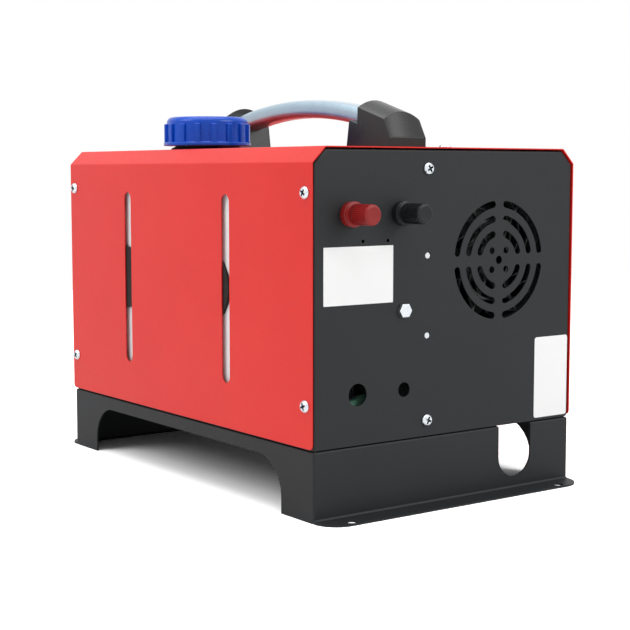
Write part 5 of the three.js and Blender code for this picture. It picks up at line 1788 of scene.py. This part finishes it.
@dataclass
class NeckRing:
    """The rubber ring in the shell's filler hole, with a groove for the sheet and a bead above it."""

    foot: float = 273.4
    under: float = 275.0  # the height of the groove's lower side
    over: float = 276.8  # and of its upper side
    bore: float = 26.3
    lip: float = 33.0
    lip_edge: float = 0.8
    groove: float = 29.5
    bead: float = 31.2
    bead_foot: float = 277.2
    bead_round: float = 1.0
    crown: Point = (27.0, 279.7)
    crown_edge: float = 279.0
    flats: int = 96

    def build(self) -> None:
        """Moulds the ring."""
        profile = [(self.bore, self.foot), (self.lip - self.lip_edge, self.foot)]
        profile += [(self.lip, self.under - self.lip_edge), (self.lip, self.under), (self.groove, self.under)]
        profile += [(self.groove, self.over), (self.bead, self.over)]
        profile += arc((self.bead - self.bead_round, self.bead_foot), self.bead_round, 0, 90, steps=5)
        profile += [self.crown, (self.bore, self.crown_edge), (self.bore, self.foot)]
        form = Form().turn(profile, self.flats).placed(Plane.LEVEL.at(*CASE.filler))
        WORKSHOP.piece(form, "neck_ring", Coat.RUBBER, replaces="neck_grommet")


@dataclass(frozen=True)
class Bead:
    """A round bead of a turned profile, and the point that its back runs down to."""

    middle: Point
    radius: float
    steps: int
    after: Point
    start: float = -60.0  # the angle where its round starts, in degrees
    end: float = 90.0


@dataclass
class PowerPost:
    """A power post: a flanged base and stud, a clamp washer and a knurled knob. Its round sizes are radii."""

    name: str
    place: Point
    coat: Coat
    slot: str
    start: float = 192.3  # how far behind the middle of the case the flange's back lies
    face: float = 201.3  # and the base's face
    base_flats: int = 48
    stud: float = 3.0
    stud_reach: float = 13.8
    stud_tip: float = 0.4
    nut: float = 6.5
    nut_depths: tuple[float, float] = (-7.8, -1.8)  # from the flange's back
    neck: float = 4.2
    flange: float = 9.3
    flange_height: float = 4.5
    flange_edge: float = 0.3
    beads: tuple[Bead, ...] = (
        Bead((8.95, 5.2), 0.6, 5, (8.5, 5.9)),
        Bead((8.5, 6.7), 0.5, 4, (7.9, 7.3)),
    )
    collar: float = 7.9
    washer: float = 6.5
    washer_bore: float = 3.3
    washer_thickness: float = 1.2
    washer_edge: float = 0.3
    washer_gap: float = 0.3
    knob_gap: float = 1.8  # from the base's face, with the washer between them
    knob_length: float = 17.0
    knob_flats: int = 60
    barrel: float = 7.4
    barrel_edge: float = 0.3
    # The knob's end: each radius with its depth from there.
    crown: tuple[Point, ...] = ((7.4, -1.0), (6.9, -0.4), (6.0, 0.0), (5.2, -0.1), (0.0, -0.5))
    ridges: int = 30
    ridge_root: float = 6.9
    ridge_half: float = 0.42
    ridge_top: float = 7.75
    ridge_start: float = 1.9
    ridge_end: float = 1.4  # how far below the knob's end the ridges stop
    ridge_edge: float = 0.25
    foot_top: float = 7.85
    foot_depths: tuple[float, float] = (0.1, 1.5)
    foot_edge: float = 0.2

    def put(self, form: Form, depth: float) -> Form:
        """Puts a form on the post's axis, at a depth."""
        return form.placed(Plane.END.at(self.place[0], depth, self.place[1]))

    def base(self) -> Form:
        """Turns the base with its nut, its flange, its two beads and its stud.

        Returns:
            The base.
        """
        length = self.face - self.start
        low, high = self.nut_depths
        end = length + self.stud_reach
        profile = [(0, -self.stud_reach), (self.stud, -self.stud_reach), (self.stud, low), (self.nut, low)]
        profile += [(self.nut, high), (self.neck, high), (self.neck, 0), (self.flange, 0)]
        profile += [(self.flange, self.flange_height - self.flange_edge)]
        profile += [(self.flange - self.flange_edge, self.flange_height)]
        for bead in self.beads:
            profile += arc(bead.middle, bead.radius, bead.start, bead.end, bead.steps) + [bead.after]
        profile += [(self.collar, length), (self.stud, length)]
        profile += [(self.stud, end - self.stud_tip), (self.stud - self.stud_tip, end), (0, end)]
        return self.put(Form().turn(profile, steps=self.base_flats), self.start)

    def clamp(self) -> Form:
        """Turns the clamp washer, with its edges broken.

        Returns:
            The washer.
        """
        bore, rim, edge, top = self.washer_bore, self.washer, self.washer_edge, self.washer_thickness
        profile = [(bore, 0), (rim - edge, 0), (rim, edge), (rim, top - edge), (rim - edge, top)]
        profile += [(bore, top), (bore, 0)]
        return self.put(Form().turn(profile, steps=40), self.face + self.washer_gap)

    def knob(self) -> Form:
        """Moulds the knob: a ridged foot, a finely ridged barrel and a dished face.

        Returns:
            The knob.
        """
        end, half = self.knob_length, self.ridge_half
        profile = [(0, 0), (self.barrel - self.barrel_edge, 0), (self.barrel, self.barrel_edge)]
        profile += [(radius, end + rise) for radius, rise in self.crown]
        knob = Form().turn(profile, self.knob_flats)
        barrel = ((self.ridge_start, end - self.ridge_end), self.ridge_top, self.ridge_edge)
        foot = (self.foot_depths, self.foot_top, self.foot_edge)
        for (low, high), top, edge in (barrel, foot):
            ridge = Form().box((self.ridge_root, -half, low), (top, half, high)).soften(edge, steps=2)
            knob.join(ridge.placed(*turns_round(self.ridges)))
        return self.put(knob, self.face + self.knob_gap)

    def build(self) -> None:
        """Makes the post's three pieces."""
        WORKSHOP.piece(self.base(), f"{self.name}_base", self.coat, replaces=f"{self.name}_post")
        washer = f"{self.name}_washer"
        WORKSHOP.piece(self.clamp(), f"{self.name}_clamp_washer", Coat.ZINC, washer, washer)
        knob = f"{self.name}_knob"
        WORKSHOP.piece(self.knob(), f"{self.name}_grip", self.coat, knob, knob)


@dataclass(frozen=True)
class Label:
    """A bare label: where its middle lies across and up, its size and its corners' radius."""

    middle: Point
    width: float
    height: float
    corner: float


@dataclass
class RearFittings:
    """What sits on the rear panel and near it: bare labels, top screw, pump bolt, plugs and intake guard."""

    labels: tuple[Label, ...] = (
        Label((90.0, 181.5), 65.0, 43.0, 0.6),
        Label((-110.75, 89.65), 37.5, 66.7, 2.2),
    )
    film: float = 0.25
    film_edge: float = 0.08
    film_gap: float = 0.02  # what parts the film's back from the panel's face
    top_screw: Point = (-4.0, 180.0)
    top_screw_turn: float = 0.6  # in radians
    hex: float = 10.4  # across the head's flats
    head: float = 4.0
    head_edge: float = 0.18
    head_gap: float = 0.3
    head_sharp: float = 20.0  # the head's edges that turn by more degrees than this are rounded
    crown: float = 0.7  # how far down the head's turned corners reach
    crown_share: float = 0.88  # the size of the head's top as a share of the head
    shank: float = 14.3
    shank_radius: float = 3.0
    shank_tip: float = 0.5
    plug_edge: float = 0.5
    guard_edge: float = 0.35
    arms: int = 14
    arm_reach: tuple[float, float] = (15.8, 49.4)
    arm_faces: tuple[float, float] = (184.3, 186.5)
    arm_width: float = 1.5
    arm_sweep: float = 70.0  # how many degrees an arm's tip lies further round than its root
    arm_edge: float = 0.2
    arm_steps: int = 10

    def label(self, number: int, label: Label) -> None:
        """Sticks on one label, with nothing printed on it.

        Args:
            number: the label's number, counted from 1.
            label: its place and size.
        """
        outline = rounded(label.middle, label.width, label.height, label.corner, steps=6)
        form = Form().fill(outline).pull(self.film).soften(self.film_edge, steps=1)
        form.placed(Plane.END.at(y=CASE.panel_face + self.film_gap))
        made = form.finish(f"bare_label_{number}")
        made.data.materials.append(WORKSHOP.material(Coat.STICKER))
        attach(made, "root")
        LOG.info("made %s with %d faces", made.name, len(made.data.polygons))

    def holder_bolt(self) -> Form:
        """Forges the hex bolt that holds the pump holder: a head with its corners turned off, on its shank.

        Returns:
            The bolt.
        """
        radius, end, tip = self.hex / math.sqrt(3), -self.shank, self.shank_tip
        outline, small = (circle((0, 0), size, steps=6) for size in (radius, radius * self.crown_share))
        head = Form().fill(outline)
        head.bridge([(outline, 0), (outline, self.head - self.crown), (small, self.head)])
        head.fill(small, depth=self.head).soften(self.head_edge, steps=2, limit=self.head_sharp)
        profile = [(0, end), (self.shank_radius - tip, end), (self.shank_radius, end + tip)]
        head.join(Form().turn(profile + [(self.shank_radius, tip), (0, tip)], steps=24))
        across, up = CASE.pump_bolt
        return head.placed(Plane.END.at(across, CASE.panel_face + self.head_gap, up))

    def grille(self) -> Form:
        """Moulds the intake guard, with fine arms between its rings that the panel's slots show.

        Returns:
            The guard.
        """
        (near, far), (back, front) = self.arm_reach, self.arm_faces
        arm = Form().box((near, back, -self.arm_width / 2), (far, front, self.arm_width / 2))
        arm.slice(Axis.X, evenly(near, far, self.arm_steps)[1:-1])

        def sweep(corner: Vector) -> Vector:
            """Turns a point of the straight arm further round, the further out it lies.

            Args:
                corner: a point of the straight arm.

            Returns:
                Its place on the swept one.
            """
            turn = math.radians(self.arm_sweep) * (corner.x - near) / (far - near)
            return Matrix.Rotation(turn, 3, "Y") @ corner

        arm.shift(sweep).soften(self.arm_edge, steps=1)
        axis = Matrix.Translation((CASE.fan[0], 0, CASE.fan[1]))
        arm.placed(*(axis @ turn for turn in turns_round(self.arms, "Y")))
        return Form().node("intake_guard").soften(self.guard_edge, steps=2).join(arm)

    def build(self) -> None:
        """Makes the fittings."""
        for number, label in enumerate(self.labels, 1):
            self.label(number, label)
        turned = Matrix.Rotation(self.top_screw_turn, 4, "Z")
        Screw().drive("top_screw", Plane.LEVEL.at(*self.top_screw, CASE.top) @ turned)
        WORKSHOP.piece(self.holder_bolt(), "holder_bolt", Coat.ZINC, replaces="pump_bolt")
        for place in ("lower", "upper"):
            node = f"partition_plug_{place}"
            WORKSHOP.refine(node, f"plug_{place}", Coat.TANK, self.plug_edge)
        WORKSHOP.piece(self.grille(), "intake_grille", Coat.FAN, replaces="intake_guard")


@dataclass
class Vent:
    """The warm air outlet: a fixed collar, a turning ring and five louvres on pins."""

    collar_edge: float = 0.7
    ring_edge: float = 0.21
    blade_edge: float = 0.6
    louvres: int = 5

    def build(self) -> None:
        """Makes the collar, the ring and the louvres."""
        WORKSHOP.refine("vent_collar", "outlet_collar", Coat.VENT, self.collar_edge)
        WORKSHOP.refine(
            "vent_rotor", "outlet_ring", Coat.VENT, self.ring_edge, "vent_ring", steps=2)
        for number in range(1, self.louvres + 1):
            node, name, body = f"vent_louvre_{number}", f"louvre_blade_{number}", f"louvre_{number}"
            WORKSHOP.refine(node, name, Coat.VENT, self.blade_edge, body)


@dataclass
class ControlPanel:
    """The control panel: a shallow case with a smoked lens over its display, and five push buttons."""

    front: float = -203.3  # where its face lies along Y
    front_depth: float = 0.1  # an edge this near to the front is on the face
    half_width: float = 40.0
    half_height: float = 50.0
    rim: float = 0.86  # an edge further out than this share of the half sizes is on the face's rim
    edge: float = 1.6
    fine_edge: float = 0.35
    fine_sharp: float = 40.0  # the case's other edges that turn by more degrees than this are rounded
    buttons: tuple[str, ...] = ("up", "down", "menu", "ok", "power")

    def case(self) -> Form:
        """Moulds the case, with a broad rounding on the outside of its face.

        Returns:
            The case.
        """
        across, up = CASE.control

        def outside(middle: Vector) -> bool:
            """Tells from an edge's middle whether the edge is on the rim of the face."""
            reach = max(abs(middle.x - across) / self.half_width, abs(middle.z - up) / self.half_height)
            return middle.y < self.front + self.front_depth and reach > self.rim

        form = Form().node("control_case").soften(self.edge, steps=4, only=outside)
        return form.soften(self.fine_edge, steps=2, limit=self.fine_sharp)

    def build(self) -> None:
        """Makes the case, the lens, the board and the buttons."""
        WORKSHOP.piece(self.case(), "panel_case", Coat.PANEL, replaces="control_case")
        WORKSHOP.refine("control_lens", "display_lens", Coat.LENS, self.fine_edge)
        WORKSHOP.dress(Coat.BOARD, "control_board")
        for name in self.buttons:
            button = f"button_{name}"
            WORKSHOP.refine(button, f"push_{button}", Coat.BUTTON, self.fine_edge, button)


@dataclass
class Insides:
    """What the case holds: its floor and inner walls, the tank with its pump and lines, and the burner."""

    pan_edge: float = 0.25
    fan_edge: float = 0.5

    def sheet_metal(self) -> None:
        """Coats the floor black, so that its edge below the shell shows as a dark line, and finishes the
        inner walls.
        """
        WORKSHOP.refine("chassis_floor", "floor_pan", Coat.BLACK, self.pan_edge)
        WORKSHOP.dress(Coat.GALVANISED, "partition", "heater_shelf")

    def tank_bay(self) -> None:
        """Finishes the tank, its pads and seal, the pump and its lines."""
        WORKSHOP.dress(Coat.TANK, "fuel_tank")
        WORKSHOP.dress(Coat.FOAM, "tank_pad_rear", "tank_pad_front")
        WORKSHOP.dress(Coat.RUBBER, "cap_seal", "pump_holder")
        WORKSHOP.dress(Coat.STEEL, "fuel_pump")
        WORKSHOP.dress(Coat.HOSE, "suction_hose")
        WORKSHOP.dress(Coat.LINE, "fuel_line")

    def burner(self) -> None:
        """Finishes the heater unit."""
        WORKSHOP.dress(Coat.JACKET, "lower_jacket", "upper_jacket", "outlet_nozzle", "control_unit")
        WORKSHOP.dress(Coat.RUBBER, "heater_gasket")
        WORKSHOP.dress(Coat.STEEL, "combustion_tube", "blower_motor", "motor_shaft", "glow_plug")
        WORKSHOP.dress(Coat.CASTING, "heat_exchanger", "blower_housing", "impeller")
        WORKSHOP.refine("fan_wheel", "cooling_fan", Coat.FAN, self.fan_edge, "rotor", steps=2)

    def build(self) -> None:
        """Finishes everything inside the case."""
        self.sheet_metal()
        self.tank_bay()
        self.burner()


def main() -> None:
    """Builds the studio and every sub-assembly, in order."""
    logging.basicConfig(level=logging.INFO, format="%(name)s: %(message)s")
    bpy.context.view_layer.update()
    Studio().build()
    CaseShell().build()
    EndPanel("rear_tray", "rear_panel", End.REAR).build()
    EndPanel("front_tray", "front_panel", End.FRONT).build()
    Stand().build()
    Handle().build()
    FillerCap().build()
    NeckRing().build()
    PowerPost("positive", CASE.positive_post, Coat.RED_POST, "red_plastic").build()
    PowerPost("negative", CASE.negative_post, Coat.BLACK_POST, "black_post_plastic").build()
    RearFittings().build()
    Vent().build()
    ControlPanel().build()
    Insides().build()


if __name__ == "__main__":
    main()
